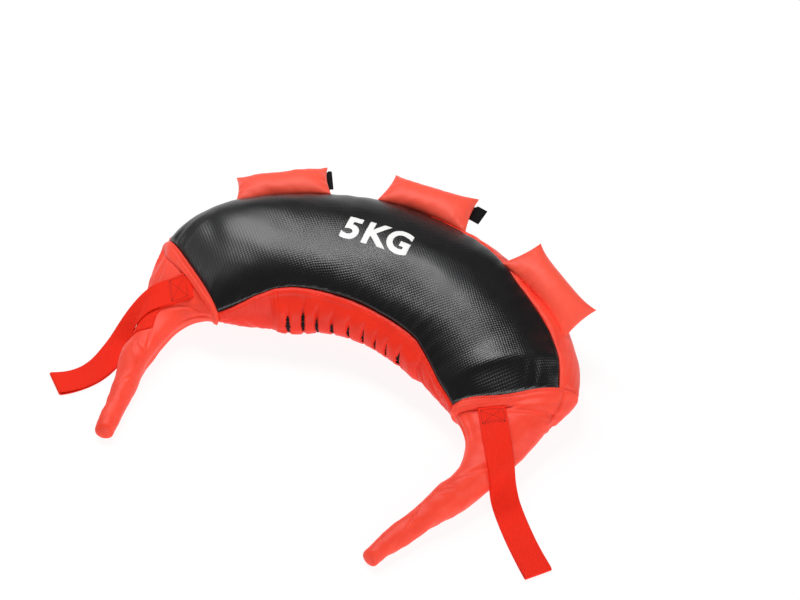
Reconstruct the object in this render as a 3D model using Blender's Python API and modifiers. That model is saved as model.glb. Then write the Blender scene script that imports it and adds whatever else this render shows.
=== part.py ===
"""Crescent sandbag trainer: a stuffed bag with two horns, two strap loops and three side grips.

The origin lies under the middle of the bag, on the surface that it rests on. +Z is up, +X runs
along the bag to its right end, and the open side of the crescent faces -Y. Lengths are in
metres, angles in degrees. A section's turn is 0 at the outer side, 90 on top, 180 at the inner
side and 270 underneath.
"""
import math

import bmesh
import bpy
from mathutils import Matrix, Vector
from mathutils.bvhtree import BVHTree

UP = Vector((0.0, 0.0, 1.0))
SIDES = {"left": -1.0, "right": 1.0}

# The bag's crescent and its section, in the middle and at the ends of the black panel
ARC_RADIUS = 0.244
PANEL_END_ANGLE = 56.4
MID_HALF_WIDTH = 0.0965
MID_HEIGHT = 0.108
END_HALF_WIDTH = 0.075
END_HEIGHTS = {"left": 0.073, "right": 0.070}
END_LIFTS = {"left": 0.023, "right": 0.009}
FLAT_ANGLE = 36.0
TAPER_POWERS = {"left": 3.2, "right": 2.2}
BELLY_SHARE = 0.46
FLATTEN_SHARE = 0.17

# Turns of the four long seams
OUTER_SEAM_TURN = 51.4
INNER_SEAM_TURN = 148.7
INNER_BASE_TURN = 215.0
OUTER_BASE_TURN = 325.0

# Except near its right end, the bag leans inwards: its outer side is slimmer and its outer seam rolls down
OUTER_SLIMNESS = 0.08
OUTER_ROLL = 9.0
UPRIGHT_ANGLE = 45.0

# Cloth and clearances
SKIN = 0.0012
SEAM_GAP = 0.0008
FILL_GAP = 0.0005
LEAST_DEPTH_SHARE = 0.3
PAD_GAP = 0.0008
TOUCH_GAP = 0.0004

# End covers, which narrow from the bag's end to the horn's root
COVER_TAPER_POWER = 2.0
OUTER_HANDLES = {"left": (0.030, 0.060), "right": (0.004, 0.040)}
INNER_HANDLES = {"left": (0.003, 0.080), "right": (0.004, 0.060)}

# Horns: stuffed tubes that lie on the floor and flex at their root
LEFT_HORN_INSET = 0.0
LEFT_HORN_DROP = 0.115
RIGHT_HORN_INSET = 0.0142
RIGHT_HORN_DROP = 0.138
HORN_INSETS = {"left": LEFT_HORN_INSET, "right": RIGHT_HORN_INSET}
HORN_DROPS = {"left": LEFT_HORN_DROP, "right": RIGHT_HORN_DROP}
HORN_ROOT_RADIUS = 0.0175
HORN_TIP_RADIUS = 0.0130
HORN_LENGTH = 0.096
HORN_HEADINGS = {"left": -95.5, "right": -117.0}
HORN_TURNS = {"left": -8.0, "right": 9.0}
HORN_LIFT = 30.0

# Webbing strap loops with their stitched root patches
STRAP_WIDTH = 0.030
STRAP_LAYER = 0.0013
STRAP_SLOT = 0.0012
PATCH_LENGTH = 0.030
PATCH_START = 0.002
STRAP_OFFSET = 0.025
STRAP_LENGTH = 0.163
STRAP_FALL = 0.075
STRAP_FLOOR_GAP = 0.0006
STRAP_HEADINGS = {"left": -51.0, "right": -57.0}
STRAP_SWEEPS = {"left": 13.0, "right": 18.0}
STRAP_SWAYS = {"left": -28.0, "right": 0.0}
STRAP_SWAY_POWER = 1.3

# Grips: stuffed pads along the outer seam, each with a webbing handle under it
GRIP_ANGLES = {"left": -30.0, "centre": -0.5, "right": 33.5}
GRIP_SLANTS = {"left": 0.0, "centre": 0.0, "right": -0.75}
GRIP_LENGTH = 0.110
GRIP_DEPTH = 0.049
GRIP_THICKNESS = 0.028
GRIP_EDGE = 0.0044
GRIP_DRAW = 0.006
GRIP_FLARE = 0.06
GRIP_SEAM = 0.005
GRIP_GAP = 0.0005
GRIP_TURN = 46.0
GRIP_TILTS = {"left": -2.0, "centre": -2.0, "right": 14.0}
CROWN_POWER = 2.6
CROWN_ROUNDNESS = 0.55
MOUTH_SHARE = 0.8
UNDERSIDE_SHARE = 0.8
SEAM_SIDE_POWER = 2.0
OUTER_SIDE_POWER = 0.9
HANDLE_WIDTH = 0.024
HANDLE_THICKNESS = 0.0016
HANDLE_CURL = 0.004
HANDLE_OVERHANGS = {"left": 0.006, "centre": 0.012, "right": -0.005}

# Closure on the inner side: mouth, hook tape, loop tape and flap
CLOSURE_ANGLE = 35.0
MOUTH_ANGLE = 30.0
MOUTH_TURN = 170.7
MOUTH_HEIGHT = 0.003
FLAP_TOP_TURN = 152.0
FLAP_END_TURN = 200.0
TAPE_TOP_TURN = 180.0
TAPE_END_TURN = 195.0
TAPE_THICKNESS = 0.0010

# Fineness of the lofts
ARC_STEPS = 24
TOP_STEPS = 8
OUTER_STEPS = 6
BASE_STEPS = 6
INNER_STEPS = 6
COVER_STEPS = 8
HORN_STEPS = 8
HORN_SIDES = 14
BALL_STEPS = 4
PATCH_STEPS = 4
STRAP_STEPS = 18
GRIP_STEPS = 10
GRIP_SIDES = 16
CLOSURE_STEPS = 16


def clear_scene():
    """Start from an empty scene."""
    for item in list(bpy.data.objects):
        bpy.data.objects.remove(item, do_unlink=True)


def material(name, colour, roughness):
    """Return a Principled material of one linear colour."""
    made = bpy.data.materials.new(name)
    made.use_nodes = True
    shader = made.node_tree.nodes["Principled BSDF"]
    shader.inputs["Base Color"].default_value = (*colour, 1.0)
    shader.inputs["Roughness"].default_value = roughness
    return made


class Section:
    """One cross-section of a stuffed piece: where it stands, which way it faces and its size."""

    def __init__(self, centre, outward, half_width, height, lean=0.0, belly=BELLY_SHARE,
                 flatten=FLATTEN_SHARE):
        self.centre = centre
        self.outward = outward
        self.half_width = half_width
        self.height = height
        self.lean = lean
        self.belly = belly
        self.flatten = flatten

    def point(self, turn, inset=0.0):
        """Return the skin's point at a turn, moved inwards by an inset (outwards if negative)."""
        turn = rolled_turn(turn, self.lean * OUTER_ROLL)
        way = math.cos(math.radians(turn))
        reach = self.outer_width() if way > 0.0 else self.half_width
        across = (reach - inset) * way
        rise = math.sin(math.radians(turn))
        middle = self.height * self.belly
        if rise > 0.0:
            reach = self.height - middle - inset
        else:
            reach = middle * (1.0 + self.flatten) - inset
        level = max(middle + reach * rise, inset)
        return self.centre + self.outward * across + UP * level

    def outer_width(self):
        """Return the width from the centre to the outer side."""
        return self.half_width * (1.0 - self.lean * OUTER_SLIMNESS)

    def speed(self, turn):
        """Return the skin's length per degree of turn."""
        return (self.point(turn + 0.5) - self.point(turn - 0.5)).length

    def moved(self, shift):
        """Return the same section shifted square to its plane, towards the piece's far end."""
        along = self.outward.cross(UP)
        return Section(self.centre + along * shift, self.outward, self.half_width, self.height,
                       self.lean, self.belly, self.flatten)


def rolled_turn(turn, roll):
    """Return a turn moved down the outer side, by the whole roll at the outer seam."""
    past_base = (turn - OUTER_BASE_TURN) % 360.0
    seam = OUTER_SEAM_TURN + 360.0 - OUTER_BASE_TURN
    top = INNER_SEAM_TURN - OUTER_SEAM_TURN
    share = past_base / seam if past_base < seam else max(1.0 - (past_base - seam) / top, 0.0)
    return turn - roll * share ** 2 * (3.0 - 2.0 * share)


def arc_section(angle):
    """Return the bag's section at an angle along the crescent, 0 in the middle."""
    name = "left" if angle < 0.0 else "right"
    turned = math.radians(angle)
    outward = Vector((math.sin(turned), math.cos(turned), 0.0))
    centre = outward * ARC_RADIUS - Vector((0.0, ARC_RADIUS, 0.0))
    reach = abs(angle) / PANEL_END_ANGLE
    taper = reach ** TAPER_POWERS[name]
    half_width = MID_HALF_WIDTH + (END_HALF_WIDTH - MID_HALF_WIDTH) * taper
    top = MID_HEIGHT + (END_HEIGHTS[name] - MID_HEIGHT) * taper
    past_flat = max(abs(angle) - FLAT_ANGLE, 0.0) / (PANEL_END_ANGLE - FLAT_ANGLE)
    centre.z = END_LIFTS[name] * past_flat ** 2
    upright = min(max(angle / UPRIGHT_ANGLE, 0.0), 1.0)
    lean = 1.0 - upright ** 2 * (3.0 - 2.0 * upright)
    return Section(centre, outward, half_width, top - centre.z, lean)


def arc_sections(start, end, steps, gap=0.0):
    """Return sections from one angle to another, the end ones drawn in by half a gap."""
    sections = [arc_section(start + (end - start) * step / steps) for step in range(steps + 1)]
    sections[0] = sections[0].moved(gap / 2)
    sections[-1] = sections[-1].moved(-gap / 2)
    return sections


def bezier(points, share):
    """Return the point at a share of a cubic Bezier curve."""
    rest = 1.0 - share
    weights = (rest ** 3, 3 * rest ** 2 * share, 3 * rest * share ** 2, share ** 3)
    return sum((point * weight for point, weight in zip(points, weights)), Vector())


def heading(angle, side):
    """Return the level direction at an angle from +X, mirrored on the left side."""
    turned = math.radians(angle)
    return Vector((math.cos(turned) * side, math.sin(turned), 0.0))


def horn_root(name):
    """Return the centre of the joint between an end cover and its horn."""
    end = arc_section(PANEL_END_ANGLE * SIDES[name]).centre
    level = HORN_ROOT_RADIUS + SKIN + TOUCH_GAP
    return Vector((end.x - HORN_INSETS[name] * SIDES[name], end.y - HORN_DROPS[name], level))


def cover_sections(name):
    """Return an end cover's sections, from the bag's end to just short of the horn's root."""
    side = SIDES[name]
    start = arc_section(PANEL_END_ANGLE * side)
    onward = heading(-PANEL_END_ANGLE, side)
    finish = heading(HORN_HEADINGS[name], side)
    across_end = heading(HORN_HEADINGS[name] + 90.0, side)
    radius = HORN_ROOT_RADIUS + SKIN
    setback = HORN_ROOT_RADIUS * math.sin(math.radians(HORN_LIFT)) + SEAM_GAP
    root = horn_root(name) - finish * setback
    root.z = TOUCH_GAP
    start_points = [start.centre + start.outward * start.outer_width(),
                    start.centre - start.outward * start.half_width]
    end_points = [root + across_end * radius * way for way in (1.0, -1.0)]
    handles = (OUTER_HANDLES[name], INNER_HANDLES[name])
    outer, inner = [(first, first + onward * leave, last - finish * arrive, last)
                    for first, last, (leave, arrive) in zip(start_points, end_points, handles)]
    sections = []
    for step in range(COVER_STEPS + 1):
        share = step / COVER_STEPS
        outer_point = bezier(outer, share)
        inner_point = bezier(inner, share)
        across = outer_point - inner_point
        across.z = 0.0
        narrowed = (1.0 - share) ** COVER_TAPER_POWER
        height = 2 * radius + (start.height - 2 * radius) * narrowed
        belly = 0.5 + (BELLY_SHARE - 0.5) * narrowed
        lean = start.lean * narrowed
        half_width = across.length / (2.0 - lean * OUTER_SLIMNESS)
        sections.append(Section(inner_point + across.normalized() * half_width, across.normalized(),
                                half_width, height, lean, belly, FLATTEN_SHARE * narrowed))
    sections[0] = sections[0].moved(SEAM_GAP / 2 * side)
    return sections


def add_object(name, mesh, finish, parts):
    """Add a named object with its material to the parts collection."""
    made = bpy.data.objects.new(name, mesh)
    made.data.materials.append(finish)
    made.data.shade_smooth()
    made.data.set_sharp_from_angle(angle=math.radians(40.0))
    parts.objects.link(made)
    return made


def loft_mesh(name, rows, closed_rows=False, closed_ends=False, loop=False, cap=None):
    """Return a mesh of quads over rows of points, with end faces or closed into a loop if asked."""
    mesh = bmesh.new()
    grid = [[mesh.verts.new(point) for point in row] for row in rows]
    span = len(rows[0])
    for step in range(len(rows) if loop else len(rows) - 1):
        here, there = grid[step], grid[(step + 1) % len(rows)]
        for place in range(span if closed_rows else span - 1):
            after = (place + 1) % span
            mesh.faces.new((here[place], here[after], there[after], there[place]))
    if closed_ends or cap == "first":
        mesh.faces.new(tuple(reversed(grid[0])))
    if closed_ends or cap == "last":
        mesh.faces.new(grid[-1])
    if closed_ends or loop:
        bmesh.ops.recalc_face_normals(mesh, faces=mesh.faces)
    made = bpy.data.meshes.new(name)
    mesh.to_mesh(made)
    mesh.free()
    return made


def add_sheet(name, sections, turns, finish, parts, lift=0.0, thickness=SKIN):
    """Add a cloth panel over some sections and turns, its outer face lifted off the skin."""
    rows = [[section.point(turn, -lift) for turn in turns] for section in sections]
    if (sections[-1].centre - sections[0].centre).dot(sections[0].outward.cross(UP)) < 0.0:
        rows.reverse()
    sheet = add_object(name, loft_mesh(name, rows), finish, parts)
    shell = sheet.modifiers.new("thickness", "SOLIDIFY")
    shell.thickness = thickness
    shell.offset = -1.0
    return sheet


def slanted_inset(sections, index, turn, depth):
    """Return the inset in a section's plane that lies a depth below a skin that may slope."""
    before = sections[max(index - 1, 0)].point(turn)
    after = sections[min(index + 1, len(sections) - 1)].point(turn)
    here = sections[index]
    slope = here.point(turn + 1.0) - here.point(turn - 1.0)
    normal = (after - before).cross(slope).normalized()
    along = here.outward.cross(UP)
    return depth / max(math.sqrt(max(1.0 - normal.dot(along) ** 2, 0.0)), LEAST_DEPTH_SHARE)


def inset_rings(sections, turns, depth):
    """Return the sections' rings of points, a depth below their skin."""
    return [[section.point(turn, slanted_inset(sections, index, turn, depth)) for turn in turns]
            for index, section in enumerate(sections)]


def turns_between(start, end, steps, section=None):
    """Return turns from one seam to another, drawn in by half a seam's gap if a section is given."""
    turns = [start + (end - start) * step / steps for step in range(steps + 1)]
    if section:
        turns[0] += SEAM_GAP / 2 / section.speed(start)
        turns[-1] -= SEAM_GAP / 2 / section.speed(end)
    return turns


def ring_turns():
    """Return the turns of a whole section, with every seam among them."""
    return (turns_between(OUTER_SEAM_TURN, INNER_SEAM_TURN, TOP_STEPS)[:-1]
            + turns_between(INNER_SEAM_TURN, INNER_BASE_TURN, INNER_STEPS)[:-1]
            + turns_between(INNER_BASE_TURN, OUTER_BASE_TURN, BASE_STEPS)[:-1]
            + turns_between(OUTER_BASE_TURN, OUTER_SEAM_TURN + 360.0, OUTER_STEPS)[:-1])


def make_panels(vinyl, leather, parts):
    """Make the bag's four long panels, which meet at the seams, and return the inner one."""
    sections = arc_sections(-PANEL_END_ANGLE, PANEL_END_ANGLE, ARC_STEPS, SEAM_GAP)
    middle = arc_section(0.0)
    panels = (("top_panel", OUTER_SEAM_TURN, INNER_SEAM_TURN, TOP_STEPS, leather),
              ("inner_gusset", INNER_SEAM_TURN, INNER_BASE_TURN, INNER_STEPS, vinyl),
              ("bottom_panel", INNER_BASE_TURN, OUTER_BASE_TURN, BASE_STEPS, vinyl),
              ("outer_band", OUTER_BASE_TURN, OUTER_SEAM_TURN + 360.0, OUTER_STEPS, vinyl))
    made = {}
    for name, start, end, steps, finish in panels:
        made[name] = add_sheet(name, sections, turns_between(start, end, steps, middle), finish, parts)
    return made["inner_gusset"]


def make_fill(name, sections, filling, parts):
    """Make one stuffed piece that fills the bag behind its skin."""
    rings = inset_rings(sections, ring_turns(), SKIN + FILL_GAP)
    return add_object(name, loft_mesh(name, rings, closed_rows=True, closed_ends=True), filling, parts)


def make_pouches(sand, parts):
    """Make the three sand pouches that lie end to end in the bag."""
    third = PANEL_END_ANGLE * 2 / 3
    for place, name in enumerate(("left", "centre", "right")):
        start = third * place - PANEL_END_ANGLE
        sections = arc_sections(start, start + third, ARC_STEPS // 3, SEAM_GAP)
        make_fill(name + "_sand_pouch", sections, sand, parts)


def make_cover(name, vinyl, fibre, parts, cutters):
    """Make one end cover and the fibre wad in it, hollowed for the horn's round root."""
    sections = cover_sections(name)
    rows = inset_rings(sections, ring_turns(), 0.0) + inset_rings(sections, ring_turns(), SKIN)[::-1]
    add_object(name + "_end_cover", loft_mesh(name + "_end_cover", rows, closed_rows=True, loop=True),
               vinyl, parts)
    wad = make_fill(name + "_fibre_wad", sections, fibre, parts)
    socket = wad.modifiers.new("horn socket", "BOOLEAN")
    socket.solver = "EXACT"
    socket.object = make_socket_cutter(name, cutters)


def make_socket_cutter(name, cutters):
    """Make the ball that hollows a fibre wad where the horn's root turns."""
    mesh = bmesh.new()
    bmesh.ops.create_uvsphere(mesh, u_segments=2 * HORN_SIDES, v_segments=HORN_SIDES,
                              radius=HORN_ROOT_RADIUS + TOUCH_GAP)
    ball = bpy.data.meshes.new(name + "_socket_cutter")
    mesh.to_mesh(ball)
    mesh.free()
    cutter = add_cutter(name + "_socket_cutter", ball, cutters)
    cutter.location = horn_root(name)
    return cutter


def horn_rings(name, inset):
    """Return a horn's rings about its root's centre: the round root, the tube and the round tip."""
    side = SIDES[name]
    rings = []
    centre = Vector()
    angle = HORN_HEADINGS[name]
    reach = HORN_ROOT_RADIUS - inset
    for step in range(1, BALL_STEPS + 1):
        swing = math.radians(90.0 * step / BALL_STEPS)
        rings.append((heading(angle, side) * -reach * math.cos(swing), angle, reach * math.sin(swing)))
    stride = HORN_LENGTH / HORN_STEPS
    for step in range(1, HORN_STEPS + 1):
        share = step / HORN_STEPS
        angle = HORN_HEADINGS[name] + HORN_TURNS[name] * share
        centre = centre + heading(angle, side) * stride
        radius = HORN_ROOT_RADIUS + (HORN_TIP_RADIUS - HORN_ROOT_RADIUS) * share
        centre.z = radius - HORN_ROOT_RADIUS - (SKIN * share)
        rings.append((centre.copy(), angle, radius - inset))
    tip = HORN_TIP_RADIUS - inset
    for step in range(1, BALL_STEPS):
        swing = math.radians(90.0 * step / BALL_STEPS)
        onward = heading(angle, side) * tip * math.sin(swing)
        rings.append((centre + onward, angle, tip * math.cos(swing)))
    turns = [math.radians(360.0 * place / HORN_SIDES) for place in range(HORN_SIDES)]
    points = []
    for centre, angle, radius in rings:
        across = heading(angle + 90.0, side)
        points.append([centre + (across * math.cos(turn) + UP * math.sin(turn)) * radius
                       for turn in turns])
    return points


def make_horn(name, vinyl, fibre, parts):
    """Make one horn's sleeve, open at its root, and its stuffing, on an empty at the joint."""
    pivot = bpy.data.objects.new(name + "_horn_joint", None)
    pivot.location = horn_root(name)
    parts.objects.link(pivot)
    rows = horn_rings(name, 0.0)
    if name == "left":
        rows.reverse()
    mesh = loft_mesh(name + "_horn_sleeve", rows, closed_rows=True, cap="first" if name == "left" else "last")
    sleeve = add_object(name + "_horn_sleeve", mesh, vinyl, parts)
    shell = sleeve.modifiers.new("thickness", "SOLIDIFY")
    shell.thickness = SKIN
    shell.offset = -1.0
    rings = horn_rings(name, SKIN + FILL_GAP)
    mesh = loft_mesh(name + "_horn_stuffing", rings, closed_rows=True, closed_ends=True)
    stuffing = add_object(name + "_horn_stuffing", mesh, fibre, parts)
    for piece in (sleeve, stuffing):
        piece.parent = pivot


def cover_surface(name):
    """Return an end cover's outer skin as a tree that rays can be dropped on."""
    turns = ring_turns()
    rows = [[section.point(turn) for turn in turns] for section in cover_sections(name)]
    span = len(turns)
    points = [point for row in rows for point in row]
    faces = [(step * span + place, step * span + (place + 1) % span,
              (step + 1) * span + (place + 1) % span, (step + 1) * span + place)
             for step in range(len(rows) - 1) for place in range(span)]
    return BVHTree.FromPolygons(points, faces)


def surface_height(surface, place):
    """Return the height of the skin under a place, or the floor's."""
    found = surface.ray_cast(Vector((place.x, place.y, MID_HEIGHT)), -UP)[0]
    return found.z if found else 0.0


def make_patch(name, surface, webbing, parts):
    """Make the strap's stitched root, which lies on the end cover along the strap."""
    side = SIDES[name]
    onward = heading(STRAP_HEADINGS[name], side)
    across = heading(STRAP_HEADINGS[name] + 90.0, side)
    thickness = STRAP_LAYER + STRAP_LAYER
    start = arc_section(PANEL_END_ANGLE * side)
    origin = start.centre - start.outward * STRAP_OFFSET + onward * (SEAM_GAP / 2 + PATCH_START)
    rows = []
    for step in range(PATCH_STEPS + 1):
        row = []
        for place in range(PATCH_STEPS + 1):
            spot = (origin + onward * PATCH_LENGTH * step / PATCH_STEPS
                    + across * STRAP_WIDTH * (0.5 - place / PATCH_STEPS))
            row.append(Vector((spot.x, spot.y, surface_height(surface, spot) + TOUCH_GAP)))
        rows.append(row + [point + UP * thickness for point in reversed(row)])
    mesh = loft_mesh(name + "_strap_patch", rows, closed_rows=True, closed_ends=True)
    add_object(name + "_strap_patch", mesh, webbing, parts)
    return origin + onward * PATCH_LENGTH


def make_strap(name, webbing, parts):
    """Make one strap: the root patch on the cover and the folded loop hinged at its lower edge."""
    side = SIDES[name]
    surface = cover_surface(name)
    foot = make_patch(name, surface, webbing, parts)
    half_thickness = STRAP_LAYER + STRAP_SLOT / 2
    rise = half_thickness + TOUCH_GAP
    onward = heading(STRAP_HEADINGS[name], side)
    across = heading(STRAP_HEADINGS[name] + 90.0, side)
    origin = foot + onward * (half_thickness + TOUCH_GAP)
    origin.z = 0.0
    edges = [origin + across * reach for reach in (STRAP_WIDTH / 2, -STRAP_WIDTH / 2)]
    heights = [surface_height(surface, edge) for edge in edges]
    middle = surface_height(surface, origin)
    stations = []
    place = origin.copy()
    stride = STRAP_LENGTH / STRAP_STEPS
    floor = STRAP_FLOOR_GAP + half_thickness
    top = max(middle, sum(heights) / 2) + rise
    tilt = (heights[0] - heights[1]) / STRAP_WIDTH
    for step in range(STRAP_STEPS + 1):
        share = step / STRAP_STEPS
        angle = (STRAP_HEADINGS[name] + STRAP_SWEEPS[name] * share
                 + STRAP_SWAYS[name] * math.sin(math.pi * share ** STRAP_SWAY_POWER))
        across = heading(angle + 90.0, side)
        fallen = min(stride * step / STRAP_FALL, 1.0)
        level = top + (floor - top) * (3 * fallen ** 2 - 2 * fallen ** 3)
        lean = tilt * (1.0 - fallen)
        onward = heading(angle, side) * stride
        level = max(level, clear_level(surface, place, onward / 2, across, lean) + rise)
        stations.append((Vector((place.x, place.y, level)), (across + UP * lean).normalized()))
        place += onward
    pivot = bpy.data.objects.new(name + "_strap_joint", None)
    pivot.location = stations[0][0]
    parts.objects.link(pivot)
    loop = add_object(name + "_strap_loop", hairpin_mesh(name + "_strap_loop", stations), webbing, parts)
    loop.data.transform(Matrix.Translation(-pivot.location))
    loop.parent = pivot


def clear_level(surface, place, onward, across, lean):
    """Return the highest skin under a strap's station, measured from the leaning strap's middle."""
    spread = STRAP_LAYER + STRAP_SLOT
    levels = []
    for place_share in (-1.0, -0.5, 0.0, 0.5, 1.0):
        reach = (STRAP_WIDTH / 2 + spread) * place_share
        for step in (-1.0, 0.0, 1.0):
            spot = place + across * reach + onward * step
            levels.append(surface_height(surface, spot) - lean * reach)
    return max(levels)


def hairpin_mesh(name, stations):
    """Return a flat loop of webbing: out along its top layer, folded, and back underneath."""
    lift = (STRAP_LAYER + STRAP_SLOT) / 2
    path = []
    for index, (centre, across) in enumerate(stations):
        before = stations[max(index - 1, 0)][0]
        after = stations[min(index + 1, len(stations) - 1)][0]
        along = (after - before).normalized()
        normal = along.cross(across)
        if normal.z < 0.0:
            normal = -normal
        path.append((centre, across, along, normal.normalized()))
    turned = [(centre + normal * lift, across, normal) for centre, across, along, normal in path]
    centre, across, along, normal = path[-1]
    turned.append((centre + along * lift, across, along))
    turned += [(centre - normal * lift, across, -normal) for centre, across, along, normal in reversed(path)]
    centre, across, along, normal = path[0]
    turned.append((centre - along * lift, across, -along))
    rows = []
    for centre, across, out in turned:
        half = across * STRAP_WIDTH / 2
        skin = out * STRAP_LAYER / 2
        rows.append([centre + half + skin, centre - half + skin, centre - half - skin, centre + half - skin])
    return loft_mesh(name, rows, closed_rows=True, loop=True)


def pad_rings(inset, seam, mouth):
    """Return a pad's rings from end to end: crowned, with drawn-in sides and pointed corners.

    The inset thins the pad on its faces, and the seam shortens it at its ends and outer edge.
    A mouth draws the seam side's edge out past the pad's own, so that a hollow opens there.
    """
    rings = []
    depth = GRIP_DEPTH - inset - seam
    for step in range(GRIP_STEPS + 1):
        end = math.sin(math.radians(180.0 * step / GRIP_STEPS - 90.0))
        crown = max(1.0 - abs(end) ** CROWN_POWER, 0.0) ** CROWN_ROUNDNESS
        half_thick = GRIP_EDGE / 2 + (GRIP_THICKNESS - GRIP_EDGE) / 2 * crown - inset
        reach = depth - GRIP_DRAW * (1.0 - end ** 4)
        ring = []
        for place in range(GRIP_SIDES):
            turn = math.radians(360.0 * place / GRIP_SIDES)
            deep = math.cos(turn)
            power = SEAM_SIDE_POWER if deep < 0.0 else OUTER_SIDE_POWER
            bow = GRIP_DRAW * (1.0 - deep ** 2) * abs(end) ** 4
            level = half_thick * abs(math.sin(turn)) ** power
            if turn > math.pi:
                level *= -UNDERSIDE_SHARE
            along = end * (GRIP_LENGTH / 2 - seam - bow) * (1.0 - GRIP_FLARE * deep)
            ring.append(Vector((along, inset + reach * (1.0 + deep) / 2, level)))
        if mouth and abs(end) < MOUTH_SHARE:
            ring[GRIP_SIDES // 2].y = -mouth
        rings.append(ring)
    return rings


def make_pad(name, inset=0.0, seam=0.0, mouth=0.0):
    """Return a pad's mesh, closed at its ends by strips between its two faces."""
    rings = pad_rings(inset, seam, mouth)
    mesh = bmesh.new()
    mesh.from_mesh(loft_mesh(name, rings, closed_rows=True))
    mesh.verts.ensure_lookup_table()
    for first in (0, GRIP_STEPS * GRIP_SIDES):
        ring = [mesh.verts[first + place] for place in range(GRIP_SIDES)]
        for place in range(GRIP_SIDES // 2):
            strip = [ring[place], ring[place + 1], ring[-place - 1], ring[-place]]
            mesh.faces.new(list(dict.fromkeys(strip)))
    bmesh.ops.recalc_face_normals(mesh, faces=mesh.faces)
    pad = bpy.data.meshes.new(name)
    mesh.to_mesh(pad)
    mesh.free()
    return pad


def grip_place(name):
    """Return the matrix of a grip's seam: X along the seam, Y outwards, at the joint's axis."""
    section = arc_section(GRIP_ANGLES[name])
    spot = section.point(GRIP_TURN)
    before, after = (arc_section(GRIP_ANGLES[name] + step).point(GRIP_TURN + GRIP_SLANTS[name] * step)
                     for step in (-1.0, 1.0))
    along = (after - before).normalized()
    slope = section.point(GRIP_TURN + 1.0) - section.point(GRIP_TURN - 1.0)
    normal = slope.cross(along).normalized()
    if normal.dot(section.outward) < 0.0:
        normal = -normal
    level = UP.cross(along).normalized()
    tilt = math.radians(GRIP_TILTS[name])
    out = level * math.cos(tilt) + along.cross(level) * math.sin(tilt)
    up = along.cross(out)
    turned = Matrix((along, out, up)).transposed().to_4x4()
    return Matrix.Translation(spot + normal * (SKIN + GRIP_GAP)) @ turned


def make_grip(name, vinyl, fibre, webbing, parts, cutters):
    """Make one grip: its cover, open along the seam, the stuffing and the webbing handle."""
    joint = bpy.data.objects.new(name + "_grip_joint", None)
    joint.matrix_world = grip_place(name)
    parts.objects.link(joint)
    cover = add_object(name + "_grip_cover", make_pad(name + "_grip_cover"), vinyl, parts)
    inside = make_pad(name + "_grip_hollow", SKIN, GRIP_SEAM, SKIN / 2)
    hollow = add_cutter(name + "_grip_hollow", inside, cutters)
    cut = cover.modifiers.new("hollow", "BOOLEAN")
    cut.solver = "EXACT"
    cut.object = hollow
    core = make_pad(name + "_grip_stuffing", SKIN + PAD_GAP, 2 * GRIP_SEAM - SKIN)
    stuffing = add_object(name + "_grip_stuffing", core, fibre, parts)
    handle = add_object(name + "_grip_webbing", handle_mesh(name), webbing, parts)
    for piece in (cover, hollow, stuffing, handle):
        piece.parent = joint


def add_cutter(name, mesh, cutters):
    """Add a shape that only cuts others, drawn as wires."""
    cutter = bpy.data.objects.new(name, mesh)
    cutter.display_type = "WIRE"
    cutter.hide_render = True
    cutters.objects.link(cutter)
    return cutter


def handle_mesh(name):
    """Return the webbing under a grip, hugging its crown and curling past its right end."""
    overhang = HANDLE_OVERHANGS[name]
    start = GRIP_DRAW - GRIP_LENGTH / 2
    finish = GRIP_LENGTH / 2 + overhang
    edge = GRIP_EDGE / 2
    rows = []
    for step in range(GRIP_STEPS + 1):
        along = start + (finish - start) * step / GRIP_STEPS
        end = min(abs(along) / (GRIP_LENGTH / 2), 1.0)
        crown = max(1.0 - end ** CROWN_POWER, 0.0) ** CROWN_ROUNDNESS
        past = max(along - GRIP_LENGTH / 2, 0.0)
        curl = HANDLE_CURL * past / (overhang + GRIP_DRAW)
        belly = (edge + (GRIP_THICKNESS / 2 - edge) * crown) * UNDERSIDE_SHARE
        level = -belly - 2 * TOUCH_GAP - HANDLE_THICKNESS / 2 - curl
        near = GRIP_DEPTH - HANDLE_WIDTH - SKIN
        half = HANDLE_THICKNESS / 2
        rows.append([Vector((along, near, level - half)), Vector((along, near + HANDLE_WIDTH, level - half)),
                     Vector((along, near + HANDLE_WIDTH, level + half)), Vector((along, near, level + half))])
    return loft_mesh(name + "_grip_webbing", rows, closed_rows=True, closed_ends=True)


def make_mouth(gusset, cutters):
    """Cut the filling mouth through the inner gusset, behind the flap."""
    rows = []
    for section in arc_sections(-MOUTH_ANGLE, MOUTH_ANGLE, CLOSURE_STEPS):
        reach = MOUTH_HEIGHT / 2 / section.speed(MOUTH_TURN)
        turns = (MOUTH_TURN + reach, MOUTH_TURN - reach)
        rows.append([section.point(turn, -SKIN) for turn in turns]
                    + [section.point(turn, 2 * SKIN) for turn in reversed(turns)])
    mesh = loft_mesh("mouth_cutter", rows, closed_rows=True, closed_ends=True)
    mouth = gusset.modifiers.new("mouth", "BOOLEAN")
    mouth.solver = "EXACT"
    mouth.object = add_cutter("mouth_cutter", mesh, cutters)


def make_closure(vinyl, tape, parts):
    """Make the closure on the inner side: a hook tape, a loop tape and the flap over them."""
    sections = arc_sections(-CLOSURE_ANGLE, CLOSURE_ANGLE, CLOSURE_STEPS)
    tape_turns = turns_between(TAPE_TOP_TURN, TAPE_END_TURN, 2)
    flap_turns = turns_between(FLAP_TOP_TURN, FLAP_END_TURN, INNER_STEPS)
    hook_lift = TAPE_THICKNESS + TOUCH_GAP
    loop_lift = hook_lift + TAPE_THICKNESS + TOUCH_GAP
    add_sheet("closure_hook_tape", sections[1:-1], tape_turns, tape, parts, hook_lift, TAPE_THICKNESS)
    add_sheet("closure_loop_tape", sections[1:-1], tape_turns, tape, parts, loop_lift, TAPE_THICKNESS)
    add_sheet("closure_flap", sections, flap_turns, vinyl, parts, loop_lift + TOUCH_GAP + SKIN)


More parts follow.
